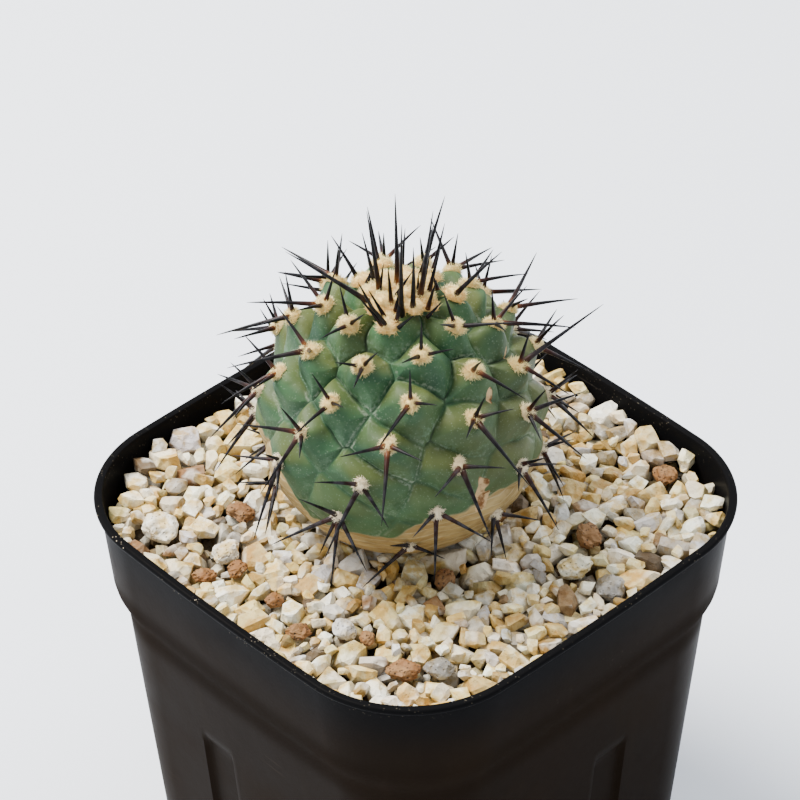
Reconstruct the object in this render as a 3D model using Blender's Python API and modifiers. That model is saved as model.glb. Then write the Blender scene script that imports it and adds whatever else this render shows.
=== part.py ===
"""Round spiny cactus in a square plastic pot dressed with gravel.

The pot stands on z = 0 with its sides along X and Y and the origin under its centre.
Lengths are in metres and angles in degrees. A spine or an areole is placed on the globe by
its azimuth, counted from +X, and its colatitude, counted down from the crown.
"""

import math

import bmesh
import bpy
import numpy as np
from mathutils import Matrix, Vector, noise

OBJECT_NAME = "potted_round_cactus"

# Gap left between pieces that touch
FIT_GAP = 0.0003

# Pot: a tapering square with round corners, a wide band below the lip and a narrower wall below
POT_SIDE = 0.090
POT_HEIGHT = 0.080
POT_CORNER = 0.0224
POT_WALL = 0.0007
POT_TAPER = 0.088
SIDE_BOW = 0.0004
LIP_HEIGHT = 0.0012
LIP_PROUD = 0.0008
BAND_DEPTH = 0.018
STEP_HEIGHT = 0.004
STEP_INSET = 0.00165
BASE_THICKNESS = 0.0015
FOOT_ROUND = 0.0008
FLUTE_OFFSET = 0.008
FLUTE_WIDTH = 0.007
FLUTE_DEPTH = 0.0009
FLUTE_TOP = 0.038
FLUTE_RUNOUT = 0.003
FLUTE_SHOULDER = 0.0006
DRAIN_HOLE = 0.007
DRAIN_SPACING = 0.032
CORNER_STEPS = 6

# Fill: gravel over potting mix
GRAVEL_BELOW_RIM = 0.0045
GRAVEL_DEPTH = 0.016
GRAVEL_RELIEF = 0.0014
GRAVEL_BANK = 0.0022
BANK_WIDTH = 0.013
GRAIN_SIZE = 0.0040
GRAVEL_RINGS = 10

# Cactus: a globe of tubercles on a short root
GLOBE_X = -0.0021
GLOBE_Y = -0.0009
GLOBE_RADIUS = 0.0246
GLOBE_SINK = 0.0029
TUBERCLE_HEIGHT = 0.0022
TUBERCLE_SHARPNESS = 2.6
CHIN_DROP = 2.5
CORKY_FROM = 112.0
CORKY_TO = 130.0
ROOT_FROM = 148.0
ROOT_RADIUS = 0.0062
ROOT_LENGTH = 0.014
GLOBE_MERIDIANS = 60
GLOBE_PARALLELS = 37

# Spiral of areoles: azimuth turns by one divergence from each areole to the next one down
SPIRAL_START = 341.5
DIVERGENCE = 106.985
SPIRAL_COLATITUDES = ((0, 13.3), (6, 25.2), (20, 50.0), (35, 74.1), (50, 102.6), (57, 119.1), (68, 145.0))
FIRST_CLUSTER = 6
LAST_CLUSTER = 57
LAST_TUBERCLE = 66

# Wool pads and spines
PAD_RADIUS_CROWN = 0.0025
PAD_RADIUS_TOP = 0.0019
PAD_RADIUS_LOW = 0.0012
PAD_HEIGHT = 0.0010
PAD_CROWNING = 0.6
PAD_SIDES = 8
CROWN_WOOL = 0.0014
CROWN_EDGE_DROP = 0.0010
CROWN_STEPS = 6
SPINE_RADIUS = 0.00048
SPINE_TIP = 0.00006
SPINE_SIDES = 5
SPINE_CLEARANCE = 0.00014

# Spines of one areole as (clock, tilt, length in mm): clock 0 points to the crown and 90 to
# the right, tilt is counted from the outward normal
USUAL_SPINES = ((0, 50, 6), (-100, 62, 8), (100, 60, 8), (180, 60, 12))
USUAL_VARIATION = (30, 12, 3)
CHOSEN_SPINES = {
    6: ((-50, 70, 6), (160, 60, 7), (60, 60, 5)),
    7: ((160, 50, 10), (-80, 60, 7), (-10, 50, 6)),
    8: ((170, 55, 8), (-150, 60, 7), (0, 50, 6)),
    10: ((0, 35, 6), (-120, 50, 7), (110, 50, 6)),
    11: ((140, 60, 8), (-150, 60, 9), (0, 50, 6)),
    13: ((-120, 40, 5), (160, 50, 7), (60, 50, 5)),
    16: ((-80, 70, 9), (-160, 60, 13), (80, 60, 5)),
    17: ((-70, 25, 6), (160, 70, 9)),
    20: ((0, 60, 6), (-140, 60, 11), (100, 55, 5)),
    21: ((110, 50, 12), (180, 50, 12), (-60, 60, 6)),
    23: ((-30, 50, 6), (-170, 50, 8), (80, 60, 5)),
    24: ((100, 60, 18), (-170, 60, 9), (0, 50, 7)),
    26: ((-80, 60, 8), (110, 50, 7), (180, 60, 10)),
    27: ((10, 50, 5), (90, 60, 6), (170, 60, 14), (-100, 50, 7)),
    30: ((-100, 70, 8), (100, 60, 7), (180, 60, 13)),
    31: ((-170, 60, 11), (-30, 50, 9), (100, 60, 9)),
    33: ((-100, 60, 10), (-10, 50, 7), (-170, 75, 12), (100, 50, 7)),
    34: ((-10, 50, 7), (100, 60, 10), (-120, 60, 6), (170, 60, 12)),
    37: ((-100, 60, 8), (90, 60, 7), (170, 70, 13)),
    40: ((-70, 60, 8), (-160, 60, 13), (130, 70, 8)),
    47: ((-80, 50, 7), (-170, 60, 11), (110, 60, 10)),
    50: ((-30, 70, 9), (-120, 70, 13), (-160, 70, 8), (120, 60, 10), (170, 50, 11)),
    54: ((-100, 50, 7), (100, 60, 8), (175, 60, 9)),
    57: ((-30, 80, 7), (-130, 70, 11), (80, 70, 6)),
}

# Upright spines of the crown as (root azimuth, root colatitude, lean azimuth, lean, length in mm)
CROWN_SPINES = (
    (318, 16, 320, 12, 21.5), (150, 3, 170, 2, 16.5), (12, 10, 10, 7, 17.5), (100, 12, 75, 20, 14),
    (240, 7, 236, 8, 15.5), (198, 10, 216, 14, 9), (342, 13, 310, 10, 13.5), (30, 12, 25, 10, 9.5),
    (0, 16, 0, 14, 6.5), (292, 10, 314, 7, 7.5), (257, 13, 238, 50, 17.5), (284, 16, 262, 26, 8),
    (304, 20, 257, 33, 8.5), (46, 20, 38, 42, 11.5), (158, 22, 160, 30, 9), (195, 18, 200, 38, 8),
    (88, 16, 110, 35, 8),
)
# Short new spines between them, in the same terms
YOUNG_SPINES = (
    (299, 17, 215, 31, 5.6), (301, 21, 229, 36, 6.9), (210, 14, 84, 38, 5.4), (248, 9, 102, 25, 4.6),
    (292, 7, 52, 37, 5.7), (47, 15, 196, 34, 3.3), (307, 14, 91, 22, 4.3), (311, 19, 103, 25, 5.9),
    (312, 21, 41, 52, 3.9), (348, 18, 40, 43, 3.7), (15, 8, 139, 22, 3), (4, 10, 109, 30, 7),
)

# Large stones as (name, material, place across and along as shares of the pot's half side,
# length, width, height above the gravel's mean level)
STONES = (
    ("brown_stone_front", "brown_stone", 0.616, -0.644, 0.0058, 0.0048, 0.0018),
    ("brown_stone_right", "brown_stone", 0.564, 0.351, 0.0066, 0.0052, 0.0020),
    ("white_stone_left", "white_stone", -0.596, -0.756, 0.0076, 0.0066, 0.0022),
)
STONE_FLATNESS = 0.75
STONE_ROUGHNESS = 0.16

MATERIALS = {
    "pot_plastic": ((0.016, 0.014, 0.013), 0.42),
    "potting_mix": ((0.090, 0.060, 0.038), 0.95),
    "gravel": ((0.640, 0.560, 0.420), 0.80),
    "brown_stone": ((0.330, 0.170, 0.075), 0.85),
    "white_stone": ((0.720, 0.670, 0.580), 0.75),
    "cactus_skin": ((0.120, 0.230, 0.110), 0.55),
    "areole_wool": ((0.780, 0.670, 0.450), 0.95),
    "spines": ((0.022, 0.020, 0.022), 0.45),
}

GRAVEL_TOP = POT_HEIGHT - GRAVEL_BELOW_RIM
GRAVEL_BOTTOM = GRAVEL_TOP - GRAVEL_DEPTH
GLOBE_CENTRE = Vector((GLOBE_X, GLOBE_Y, GRAVEL_TOP + GLOBE_RADIUS - GLOBE_SINK))
PAD_SEAT = GLOBE_RADIUS + FIT_GAP
SPINE_SPACING = 2 * SPINE_RADIUS + SPINE_CLEARANCE
# The crown's wool ends where the wool of the first free areole begins
CROWN_ANGLE = SPIRAL_COLATITUDES[1][1] - math.degrees((PAD_RADIUS_TOP + FIT_GAP) / GLOBE_RADIUS)


def clear_scene():
    for obj in list(bpy.data.objects):
        bpy.data.objects.remove(obj, do_unlink=True)


def new_collection(name):
    collection = bpy.data.collections.new(name)
    bpy.context.scene.collection.children.link(collection)
    return collection


def new_material(name):
    color, roughness = MATERIALS[name]
    material = bpy.data.materials.new(name)
    material.use_nodes = True
    shader = material.node_tree.nodes["Principled BSDF"]
    shader.inputs["Base Color"].default_value = (*color, 1.0)
    shader.inputs["Roughness"].default_value = roughness
    shader.inputs["Metallic"].default_value = 0.0
    return material


def new_object(name, bm, material_name, collection):
    """Turns a bmesh into a smooth-shaded object."""
    mesh = bpy.data.meshes.new(name)
    bmesh.ops.recalc_face_normals(bm, faces=bm.faces)
    bm.to_mesh(mesh)
    bm.free()
    mesh.shade_smooth()
    mesh.set_sharp_from_angle(angle=math.radians(35))
    obj = bpy.data.objects.new(name, mesh)
    obj.data.materials.append(materials[material_name])
    collection.objects.link(obj)
    return obj


def new_cutter(name, bm, material_name):
    obj = new_object(name, bm, material_name, cutters)
    obj.hide_render = True
    obj.display_type = "WIRE"
    return obj


def add_boolean(obj, operation, cutter, use_self=False):
    modifier = obj.modifiers.new(f"{operation.lower()} {cutter.name}", "BOOLEAN")
    modifier.operation = operation
    modifier.object = cutter
    modifier.solver = "EXACT"
    modifier.use_self = use_self


def smooth_share(value, start, end):
    share = np.clip((value - start) / (end - start), 0.0, 1.0)
    return share * share * (3 - 2 * share)


# ---- Pot and fill ----


def wall_inset(z):
    """How far the outer wall stands in from the lip's outer face at height z."""
    below = POT_HEIGHT - z
    stepped = min(max((below - BAND_DEPTH) / STEP_HEIGHT, 0.0), 1.0)
    return LIP_PROUD + POT_TAPER * below + STEP_INSET * stepped


def flute_depth(z):
    below = POT_HEIGHT - z
    return FLUTE_DEPTH * min(max((below - FLUTE_TOP) / FLUTE_RUNOUT, 0.0), 1.0)


def side_stations():
    """Places along one side where a section has a point, with the flute's edges among them."""
    straight = POT_SIDE / 2 - POT_CORNER
    near = FLUTE_OFFSET - FLUTE_WIDTH / 2
    far = FLUTE_OFFSET + FLUTE_WIDTH / 2
    plain = [straight * share for share in (-1.0, -0.66, -0.33, 0.0)]
    fluted = [near - FLUTE_SHOULDER, near, FLUTE_OFFSET, far, far + FLUTE_SHOULDER]
    return plain + fluted + [(far + FLUTE_SHOULDER + straight) / 2, straight]


def pot_section(z, inset, flute=0.0):
    """Level section at height z, this far inside the lip's outer face, with flutes this deep."""
    straight = POT_SIDE / 2 - POT_CORNER
    half = POT_SIDE / 2 - inset
    corner = POT_CORNER - inset
    points = []
    for side in range(4):
        turn = Matrix.Rotation(math.pi / 2 * side, 3, "Z")
        mirrored = side % 2 == 1
        along = side_stations()
        if mirrored:
            along = [-place for place in reversed(along)]
        for place in along:
            from_flute = abs(abs(place) - FLUTE_OFFSET) if (place < 0) == mirrored else POT_SIDE
            in_flute = from_flute < FLUTE_WIDTH / 2 + FLUTE_SHOULDER / 2
            bow = SIDE_BOW * (1 - (place / straight) ** 2)
            points.append(turn @ Vector((half + bow - flute * in_flute, place, z)))
        for step in range(1, CORNER_STEPS):
            angle = math.pi / 2 * step / CORNER_STEPS
            arc = Vector((straight + corner * math.cos(angle), straight + corner * math.sin(angle), z))
            points.append(turn @ arc)
    return points


def loft(sections):
    """Skins and caps a list of sections that have equal numbers of points, all split the same way."""
    bm = bmesh.new()
    rings = [[bm.verts.new(point) for point in section] for section in sections]
    for first, second in zip(rings, rings[1:]):
        for i in range(len(first)):
            j = (i + 1) % len(first)
            if first[i].co.z <= second[i].co.z:
                bm.faces.new((first[i], first[j], second[j]))
                bm.faces.new((first[i], second[j], second[i]))
            else:
                bm.faces.new((first[i], first[j], second[i]))
                bm.faces.new((first[j], second[j], second[i]))
    bm.faces.new(list(reversed(rings[0])))
    bm.faces.new(rings[-1])
    return bm


def wall_levels(low, high):
    """Heights from low to high where the wall changes direction."""
    flute_start = POT_HEIGHT - FLUTE_TOP
    step_top = POT_HEIGHT - BAND_DEPTH
    bends = (flute_start - FLUTE_RUNOUT, flute_start, step_top - STEP_HEIGHT, step_top)
    return [low] + [z for z in bends if low < z < high] + [high]


def make_pot():
    lip_low = POT_HEIGHT - LIP_HEIGHT
    round_edge = LIP_HEIGHT / 4
    outer = [pot_section(0, wall_inset(0) + FOOT_ROUND, flute_depth(0))]
    outer += [pot_section(z, wall_inset(z), flute_depth(z)) for z in wall_levels(FOOT_ROUND, lip_low)]
    rim_inner = LIP_PROUD + POT_WALL
    lip = [
        pot_section(lip_low, round_edge / 2),
        pot_section(lip_low + round_edge, 0),
        pot_section(POT_HEIGHT - round_edge, 0),
        pot_section(POT_HEIGHT, round_edge),
        pot_section(POT_HEIGHT, rim_inner - round_edge / 2),
    ]
    inner = [
        pot_section(z, wall_inset(z) + POT_WALL, flute_depth(z))
        for z in reversed(wall_levels(BASE_THICKNESS, POT_HEIGHT - round_edge))
    ]
    pot = new_object("pot", loft(outer + lip + inner), "pot_plastic", parts)
    drains = bmesh.new()
    for x in (-DRAIN_SPACING / 2, DRAIN_SPACING / 2):
        for y in (-DRAIN_SPACING / 2, DRAIN_SPACING / 2):
            bmesh.ops.create_cone(
                drains, cap_ends=True, segments=16, radius1=DRAIN_HOLE / 2, radius2=DRAIN_HOLE / 2,
                depth=4 * BASE_THICKNESS, matrix=Matrix.Translation((x, y, BASE_THICKNESS / 2)),
            )
    add_boolean(pot, "DIFFERENCE", new_cutter("drain_holes", drains, "pot_plastic"))


def fill_section(z):
    return pot_section(z, wall_inset(z) + POT_WALL + FIT_GAP, flute_depth(z))


def make_potting_mix():
    levels = wall_levels(BASE_THICKNESS + FIT_GAP, GRAVEL_BOTTOM - FIT_GAP)
    mix = new_object("potting_mix", loft([fill_section(z) for z in levels]), "potting_mix", parts)
    add_boolean(mix, "DIFFERENCE", globe_socket)


def bank_height(x, y):
    """How much higher the gravel is banked up against the walls of the back corner."""
    half = POT_SIDE / 2 - wall_inset(GRAVEL_TOP)
    near_wall = smooth_share(max(abs(x), abs(y)), half - BANK_WIDTH, half)
    behind = smooth_share(y - x, 0.0, 0.7 * half)
    return GRAVEL_BANK * float(near_wall * behind)


def gravel_height(x, y):
    """Uneven top of the gravel, a little lower and higher by grains."""
    bumps = noise.noise(Vector((x / GRAIN_SIZE, y / GRAIN_SIZE, 0.5)))
    return GRAVEL_TOP + bank_height(x, y) + GRAVEL_RELIEF * max(-0.5, min(0.5, bumps))


def make_gravel():
    edge = fill_section(GRAVEL_TOP)
    sections = [fill_section(z) for z in wall_levels(GRAVEL_BOTTOM, GRAVEL_TOP)]
    sections[-1] = [Vector((p.x, p.y, GRAVEL_TOP + bank_height(p.x, p.y))) for p in edge]
    for ring in range(1, GRAVEL_RINGS):
        share = 1 - ring / GRAVEL_RINGS
        sections.append([
            Vector((p.x * share, p.y * share, gravel_height(p.x * share, p.y * share))) for p in edge
        ])
    gravel = new_object("gravel", loft(sections), "gravel", parts)
    add_boolean(gravel, "DIFFERENCE", globe_socket)
    for name, material_name, *shape in STONES:
        pocket = new_cutter(f"pocket_{name}", stone_mesh(*shape, grow=FIT_GAP), material_name)
        add_boolean(gravel, "DIFFERENCE", pocket)


def stone_centre(across, along, width, proud):
    z = GRAVEL_TOP + proud - STONE_FLATNESS * width / 2
    return Vector((across * POT_SIDE / 2, along * POT_SIDE / 2, z))


def stone_mesh(across, along, length, width, proud, grow=0.0):
    """Knobbly pebble lying with its top this far above the gravel."""
    bm = bmesh.new()
    bmesh.ops.create_icosphere(bm, subdivisions=2, radius=1.0)
    height = STONE_FLATNESS * width
    centre = stone_centre(across, along, width, proud)
    for vert in bm.verts:
        direction = vert.co.normalized()
        knob = 1 + STONE_ROUGHNESS * noise.noise(direction * 1.7 + Vector((across, along, 0)) * 50)
        size = Vector((length, width, height)) / 2 * knob
        size += Vector((grow, grow, grow))
        vert.co = centre + Vector([size[i] * direction[i] for i in range(3)])
    return bm


def make_stones():
    for name, material_name, *shape in STONES:
        new_object(name, stone_mesh(*shape), material_name, parts)


# ---- Cactus ----


def globe_direction(azimuth, colatitude):
    azimuth, colatitude = math.radians(azimuth), math.radians(colatitude)
    across = math.sin(colatitude)
    return Vector((across * math.cos(azimuth), across * math.sin(azimuth), math.cos(colatitude)))


def areole_angles(index):
    """Azimuth and colatitude of an areole, counted from the crown down."""
    steps, colatitudes = zip(*SPIRAL_COLATITUDES)
    return SPIRAL_START + DIVERGENCE * index, float(np.interp(index, steps, colatitudes))


def areole_direction(index):
    return globe_direction(*areole_angles(index))


def tubercle_tops():
    """Highest points of the tubercles, a little below their areoles."""
    tops = []
    for index in range(1, LAST_TUBERCLE + 1):
        azimuth, colatitude = areole_angles(index)
        tops.append(globe_direction(azimuth, colatitude + CHIN_DROP))
    return np.array(tops)


def globe_radius(direction, tops):
    """Distance of the skin from the globe's centre: domes that meet in sharp creases."""
    nearness = np.sort(np.arccos(np.clip(tops @ np.array(direction), -1.0, 1.0)))[:2]
    share = nearness[0] / nearness[1]
    colatitude = math.degrees(math.acos(max(-1.0, min(1.0, direction.z))))
    height = TUBERCLE_HEIGHT * (1 - 0.85 * smooth_share(colatitude, CORKY_FROM, CORKY_TO))
    return GLOBE_RADIUS - height * share ** TUBERCLE_SHARPNESS


def globe_mesh(grow=0.0):
    """The globe and its root as one skin, moved outwards by grow."""
    bm = bmesh.new()
    bmesh.ops.create_uvsphere(bm, u_segments=GLOBE_MERIDIANS, v_segments=GLOBE_PARALLELS, radius=1.0)
    tops = tubercle_tops()
    neck_radius = GLOBE_RADIUS * math.sin(math.radians(ROOT_FROM))
    neck_z = GLOBE_RADIUS * math.cos(math.radians(ROOT_FROM))
    for vert in bm.verts:
        direction = vert.co.normalized()
        colatitude = math.degrees(math.acos(max(-1.0, min(1.0, direction.z))))
        if colatitude <= ROOT_FROM:
            vert.co = GLOBE_CENTRE + direction * (globe_radius(direction, tops) + grow)
            continue
        down = (colatitude - ROOT_FROM) / (180 - ROOT_FROM)
        sideways = Vector((direction.x, direction.y, 0))
        sideways = sideways.normalized() if sideways.length > 1e-6 else Vector((0, 0, 0))
        narrow = ROOT_RADIUS + (neck_radius - ROOT_RADIUS) * max(0.0, 1 - 2.2 * down) ** 2
        radius = (narrow - 0.001 + grow) * min(1.0, 5 * (1 - down))
        depth = ROOT_LENGTH * down ** 1.3
        vert.co = GLOBE_CENTRE + sideways * radius + Vector((0, 0, neck_z - depth - grow * down))
    return bm


def areole_frame(index):
    """Matrix whose X, Y and Z are the areole's right, crownward and outward directions."""
    outward = areole_direction(index)
    crownward = (Vector((0, 0, 1)) - outward * outward.z).normalized()
    right = crownward.cross(outward)
    return Matrix((right, crownward, outward)).transposed()


def pad_radius(index):
    if index < FIRST_CLUSTER:
        return PAD_RADIUS_CROWN
    return float(np.interp(index, (FIRST_CLUSTER, LAST_CLUSTER), (PAD_RADIUS_TOP, PAD_RADIUS_LOW)))


def add_pad(bm, index):
    """Wool pad: a low cushion with a flat underside just clear of the skin."""
    frame = areole_frame(index)
    seat = GLOBE_CENTRE + frame.col[2] * (PAD_SEAT + PAD_HEIGHT / 2)
    bmesh.ops.create_cone(
        bm, cap_ends=True, segments=PAD_SIDES, radius1=pad_radius(index),
        radius2=pad_radius(index) * PAD_CROWNING, depth=PAD_HEIGHT,
        matrix=Matrix.Translation(seat) @ frame.to_4x4(),
    )


def spines_of(index):
    """The areole's spines as (clock, tilt, length)."""
    if index in CHOSEN_SPINES:
        return CHOSEN_SPINES[index]
    turned, tilted, longer = USUAL_VARIATION
    spines = []
    for place, (clock, tilt, length) in enumerate(USUAL_SPINES):
        first = ((index * 37 + place * 71) % 100) / 100 - 0.5
        second = ((index * 53 + place * 29) % 100) / 100 - 0.5
        spines.append((clock + turned * first, tilt + tilted * second, length - longer * first))
    return tuple(spines)


def segment_gaps(root, tip, roots, tips):
    """Distances from the segment root-tip to each of many segments."""
    along, others, between = tip - root, tips - roots, root - roots
    a, e = along @ along, (others * others).sum(1)
    b, c, f = others @ along, between @ along, (others * between).sum(1)
    s = np.clip((b * f - c * e) / np.maximum(a * e - b * b, 1e-16), 0, 1)
    t = np.clip((b * s + f) / e, 0, 1)
    s = np.clip((b * t - c) / a, 0, 1)
    return np.linalg.norm(between + s[:, None] * along - t[:, None] * others, axis=1)


def rim_gap(x, y):
    """How far a point is inside the pot's inner wall at the rim."""
    straight, inset = POT_SIDE / 2 - POT_CORNER, LIP_PROUD + POT_WALL
    across, along = abs(x) - straight, abs(y) - straight
    if min(across, along) <= 0:
        return POT_CORNER - inset - max(across, along)
    return POT_CORNER - inset - math.hypot(across, along)


def point_gap(root, tip, point):
    """Distance from the segment root-tip to a point."""
    share = np.clip((point - root) @ (tip - root) / ((tip - root) @ (tip - root)), 0, 1)
    return np.linalg.norm(root + share * (tip - root) - point)


def is_clear(root, tip, index, placed):
    """Whether a spine clears the other areoles' spines and pads, the crown's wool and the fill."""
    root, tip = np.array(root), np.array(tip)
    ground = GRAVEL_TOP + bank_height(tip[0], tip[1]) + GRAVEL_RELIEF / 2
    if tip[2] < ground + 2 * SPINE_RADIUS:
        return False
    for _, _, across, along, length, width, proud in STONES:
        stone = np.array(stone_centre(across, along, width, proud))
        if point_gap(root, tip, stone) < length / 2 + SPINE_RADIUS + FIT_GAP:
            return False
    wall_room = POT_TAPER * GRAVEL_BELOW_RIM + 3 * SPINE_RADIUS
    for share in np.linspace(0, 1, 9):
        x, y, z = root + share * (tip - root)
        if z < POT_HEIGHT + 2 * SPINE_RADIUS and rim_gap(x, y) < wall_room:
            return False
    others = [(r, t) for owner, r, t in placed if owner != index]
    if others:
        roots, tips = (np.array(ends) for ends in zip(*others))
        if segment_gaps(root, tip, roots, tips).min() < SPINE_SPACING:
            return False
    for other in range(1, LAST_CLUSTER + 1):
        if other == index or (index < FIRST_CLUSTER and other < FIRST_CLUSTER):
            continue
        pad = np.array(GLOBE_CENTRE + areole_direction(other) * (PAD_SEAT + PAD_HEIGHT / 2))
        if point_gap(root, tip, pad) < pad_radius(other) + SPINE_RADIUS + FIT_GAP:
            return False
    if index < FIRST_CLUSTER:
        return True
    for share in np.linspace(0, 1, 9):
        point = root + share * (tip - root) - np.array(GLOBE_CENTRE)
        reach = np.linalg.norm(point)
        near_crown = math.degrees(math.acos(point[2] / reach)) < CROWN_ANGLE + 1.5
        if near_crown and reach < PAD_SEAT + CROWN_WOOL + SPINE_RADIUS + 2 * FIT_GAP:
            return False
    return True


def place_spine(index, root, frame, clock, tilt, length, placed):
    """Turns, lifts or shortens a spine until it is clear of what is already there."""
    for cut in (1.0, 0.85, 0.7, 0.55, 0.4):
        for turn in (0, 7, -7, 14, -14, 21, -21, 28, -28, 35, -35):
            for lift in (0, 7, 14, -7, 21, 28):
                turned, tilted = math.radians(clock + turn), math.radians(max(2, min(80, tilt - lift)))
                across = math.sin(tilted)
                local = Vector((across * math.sin(turned), across * math.cos(turned), math.cos(tilted)))
                tip = root + frame @ local * (length * cut)
                if is_clear(root, tip, index, placed):
                    placed.append((index, np.array(root), np.array(tip)))
                    return
    placed.append((index, np.array(root), np.array(tip)))


def crown_spine_root(azimuth, colatitude):
    return GLOBE_CENTRE + globe_direction(azimuth, colatitude) * (PAD_SEAT + CROWN_WOOL / 2)


def plan_crown(rows, placed):
    for azimuth, colatitude, lean_azimuth, lean, length in rows:
        root = crown_spine_root(azimuth, colatitude)
        place_spine(0, root, Matrix.Identity(3), 90 - lean_azimuth, lean, length * 0.001, placed)


def plan_spines():
    """Every spine as (areole, root, tip). The crown's spines have areole 0."""
    placed = []
    plan_crown(CROWN_SPINES, placed)
    for index in range(FIRST_CLUSTER, LAST_CLUSTER + 1):
        frame = areole_frame(index)
        root = GLOBE_CENTRE + frame.col[2] * (PAD_SEAT + PAD_HEIGHT / 2)
        for clock, tilt, length in spines_of(index):
            place_spine(index, root, frame, clock, tilt, length * 0.001, placed)
    plan_crown(YOUNG_SPINES, placed)
    return placed


def spine_mesh(bm, root, tip):
    axis = Vector(tip) - Vector(root)
    turn = axis.to_track_quat("Z", "Y").to_matrix().to_4x4()
    bmesh.ops.create_cone(
        bm, cap_ends=True, segments=SPINE_SIDES, radius1=SPINE_RADIUS, radius2=SPINE_TIP,
        depth=axis.length, matrix=Matrix.Translation(Vector(root) + axis / 2) @ turn,
    )


def make_clusters(placed):
    for index in range(FIRST_CLUSTER, LAST_CLUSTER + 1):
        pad, spines = bmesh.new(), bmesh.new()
        add_pad(pad, index)
        for owner, root, tip in placed:
            if owner == index:
                spine_mesh(spines, root, tip)
        cluster = new_object(f"spine_cluster_{index:02d}", pad, "spines", parts)
        helper = new_cutter(f"spines_{index:02d}", spines, "spines")
        add_boolean(cluster, "UNION", helper, use_self=True)


def make_crown(placed):
    """Woolly cap on the crown: a turned lens over the skin, with young pads and upright spines."""
    inner, outer = PAD_SEAT, PAD_SEAT + CROWN_WOOL
    angles = [CROWN_ANGLE * step / CROWN_STEPS for step in range(CROWN_STEPS + 1)]
    profile = [(outer - CROWN_EDGE_DROP * (angle / CROWN_ANGLE) ** 6, angle) for angle in angles]
    profile += [(inner, angle) for angle in reversed(angles)]
    bm = bmesh.new()
    points = []
    for radius, angle in profile:
        across = radius * math.sin(math.radians(angle))
        points.append(bm.verts.new((across, 0, radius * math.cos(math.radians(angle)))))
    for first, second in zip(points, points[1:]):
        bm.edges.new((first, second))
    crown = new_object("crown", bm, "areole_wool", parts)
    crown.location = GLOBE_CENTRE
    screw = crown.modifiers.new("turn", "SCREW")
    screw.axis = "Z"
    screw.steps = screw.render_steps = 24
    screw.use_merge_vertices = True
    screw.merge_threshold = 0.00005
    extras = bmesh.new()
    for index in range(1, FIRST_CLUSTER):
        add_pad(extras, index)
    for owner, root, tip in placed:
        if owner == 0:
            spine_mesh(extras, root, tip)
    add_boolean(crown, "UNION", new_cutter("crown_spines", extras, "spines"), use_self=True)


clear_scene()
parts = new_collection(OBJECT_NAME)
cutters = new_collection(f"{OBJECT_NAME}_cutters")
materials = {name: new_material(name) for name in MATERIALS}

new_object("cactus_body", globe_mesh(), "cactus_skin", parts)
globe_socket = new_cutter("globe_socket", globe_mesh(FIT_GAP), "cactus_skin")
make_pot()
make_potting_mix()
make_gravel()
make_stones()
spine_plan = plan_spines()
make_crown(spine_plan)
make_clusters(spine_plan)
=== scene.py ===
import math

import bmesh
import bpy
import numpy as np
from mathutils import Matrix, Vector, noise


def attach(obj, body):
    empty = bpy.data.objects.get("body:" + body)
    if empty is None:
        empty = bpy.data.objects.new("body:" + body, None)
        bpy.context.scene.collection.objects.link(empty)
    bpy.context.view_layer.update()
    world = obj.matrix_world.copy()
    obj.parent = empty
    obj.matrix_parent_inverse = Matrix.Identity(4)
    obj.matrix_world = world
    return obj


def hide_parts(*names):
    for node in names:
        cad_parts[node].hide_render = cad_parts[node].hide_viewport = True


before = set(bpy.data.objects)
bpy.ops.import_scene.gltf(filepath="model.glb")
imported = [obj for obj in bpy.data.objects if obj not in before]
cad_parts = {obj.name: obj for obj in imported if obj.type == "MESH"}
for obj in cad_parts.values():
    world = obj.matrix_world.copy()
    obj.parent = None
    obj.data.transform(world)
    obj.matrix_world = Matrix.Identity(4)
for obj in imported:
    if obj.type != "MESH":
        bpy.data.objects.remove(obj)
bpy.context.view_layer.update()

mm = 0.001
print("frame loaded")


class Wire:
    # one output socket: maths on it adds nodes to its own material
    def __init__(self, paint, socket):
        self.paint = paint
        self.socket = socket

    def maths(self, operation, first, second=0.0, clamp=False):
        settings = {"operation": operation, "use_clamp": clamp}
        return self.paint.node("ShaderNodeMath", settings, {0: first, 1: second})

    def __add__(self, other):
        return self.maths("ADD", self, other)

    def __sub__(self, other):
        return self.maths("SUBTRACT", self, other)

    def __rsub__(self, other):
        return self.maths("SUBTRACT", other, self)

    def __mul__(self, other):
        return self.maths("MULTIPLY", self, other)

    __radd__ = __add__
    __rmul__ = __mul__

    def above(self, low, high):
        # 0 below low, 1 above high, smooth between
        settings = {"interpolation_type": "SMOOTHSTEP"}
        sockets = {"Value": self, "From Min": low, "From Max": high}
        return self.paint.node("ShaderNodeMapRange", settings, sockets)

    def clamped(self):
        return self.maths("ADD", self, 0.0, clamp=True)


def opaque(color):
    # color sockets take a fourth value
    return (*color, 1.0) if isinstance(color, tuple) else color


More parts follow.
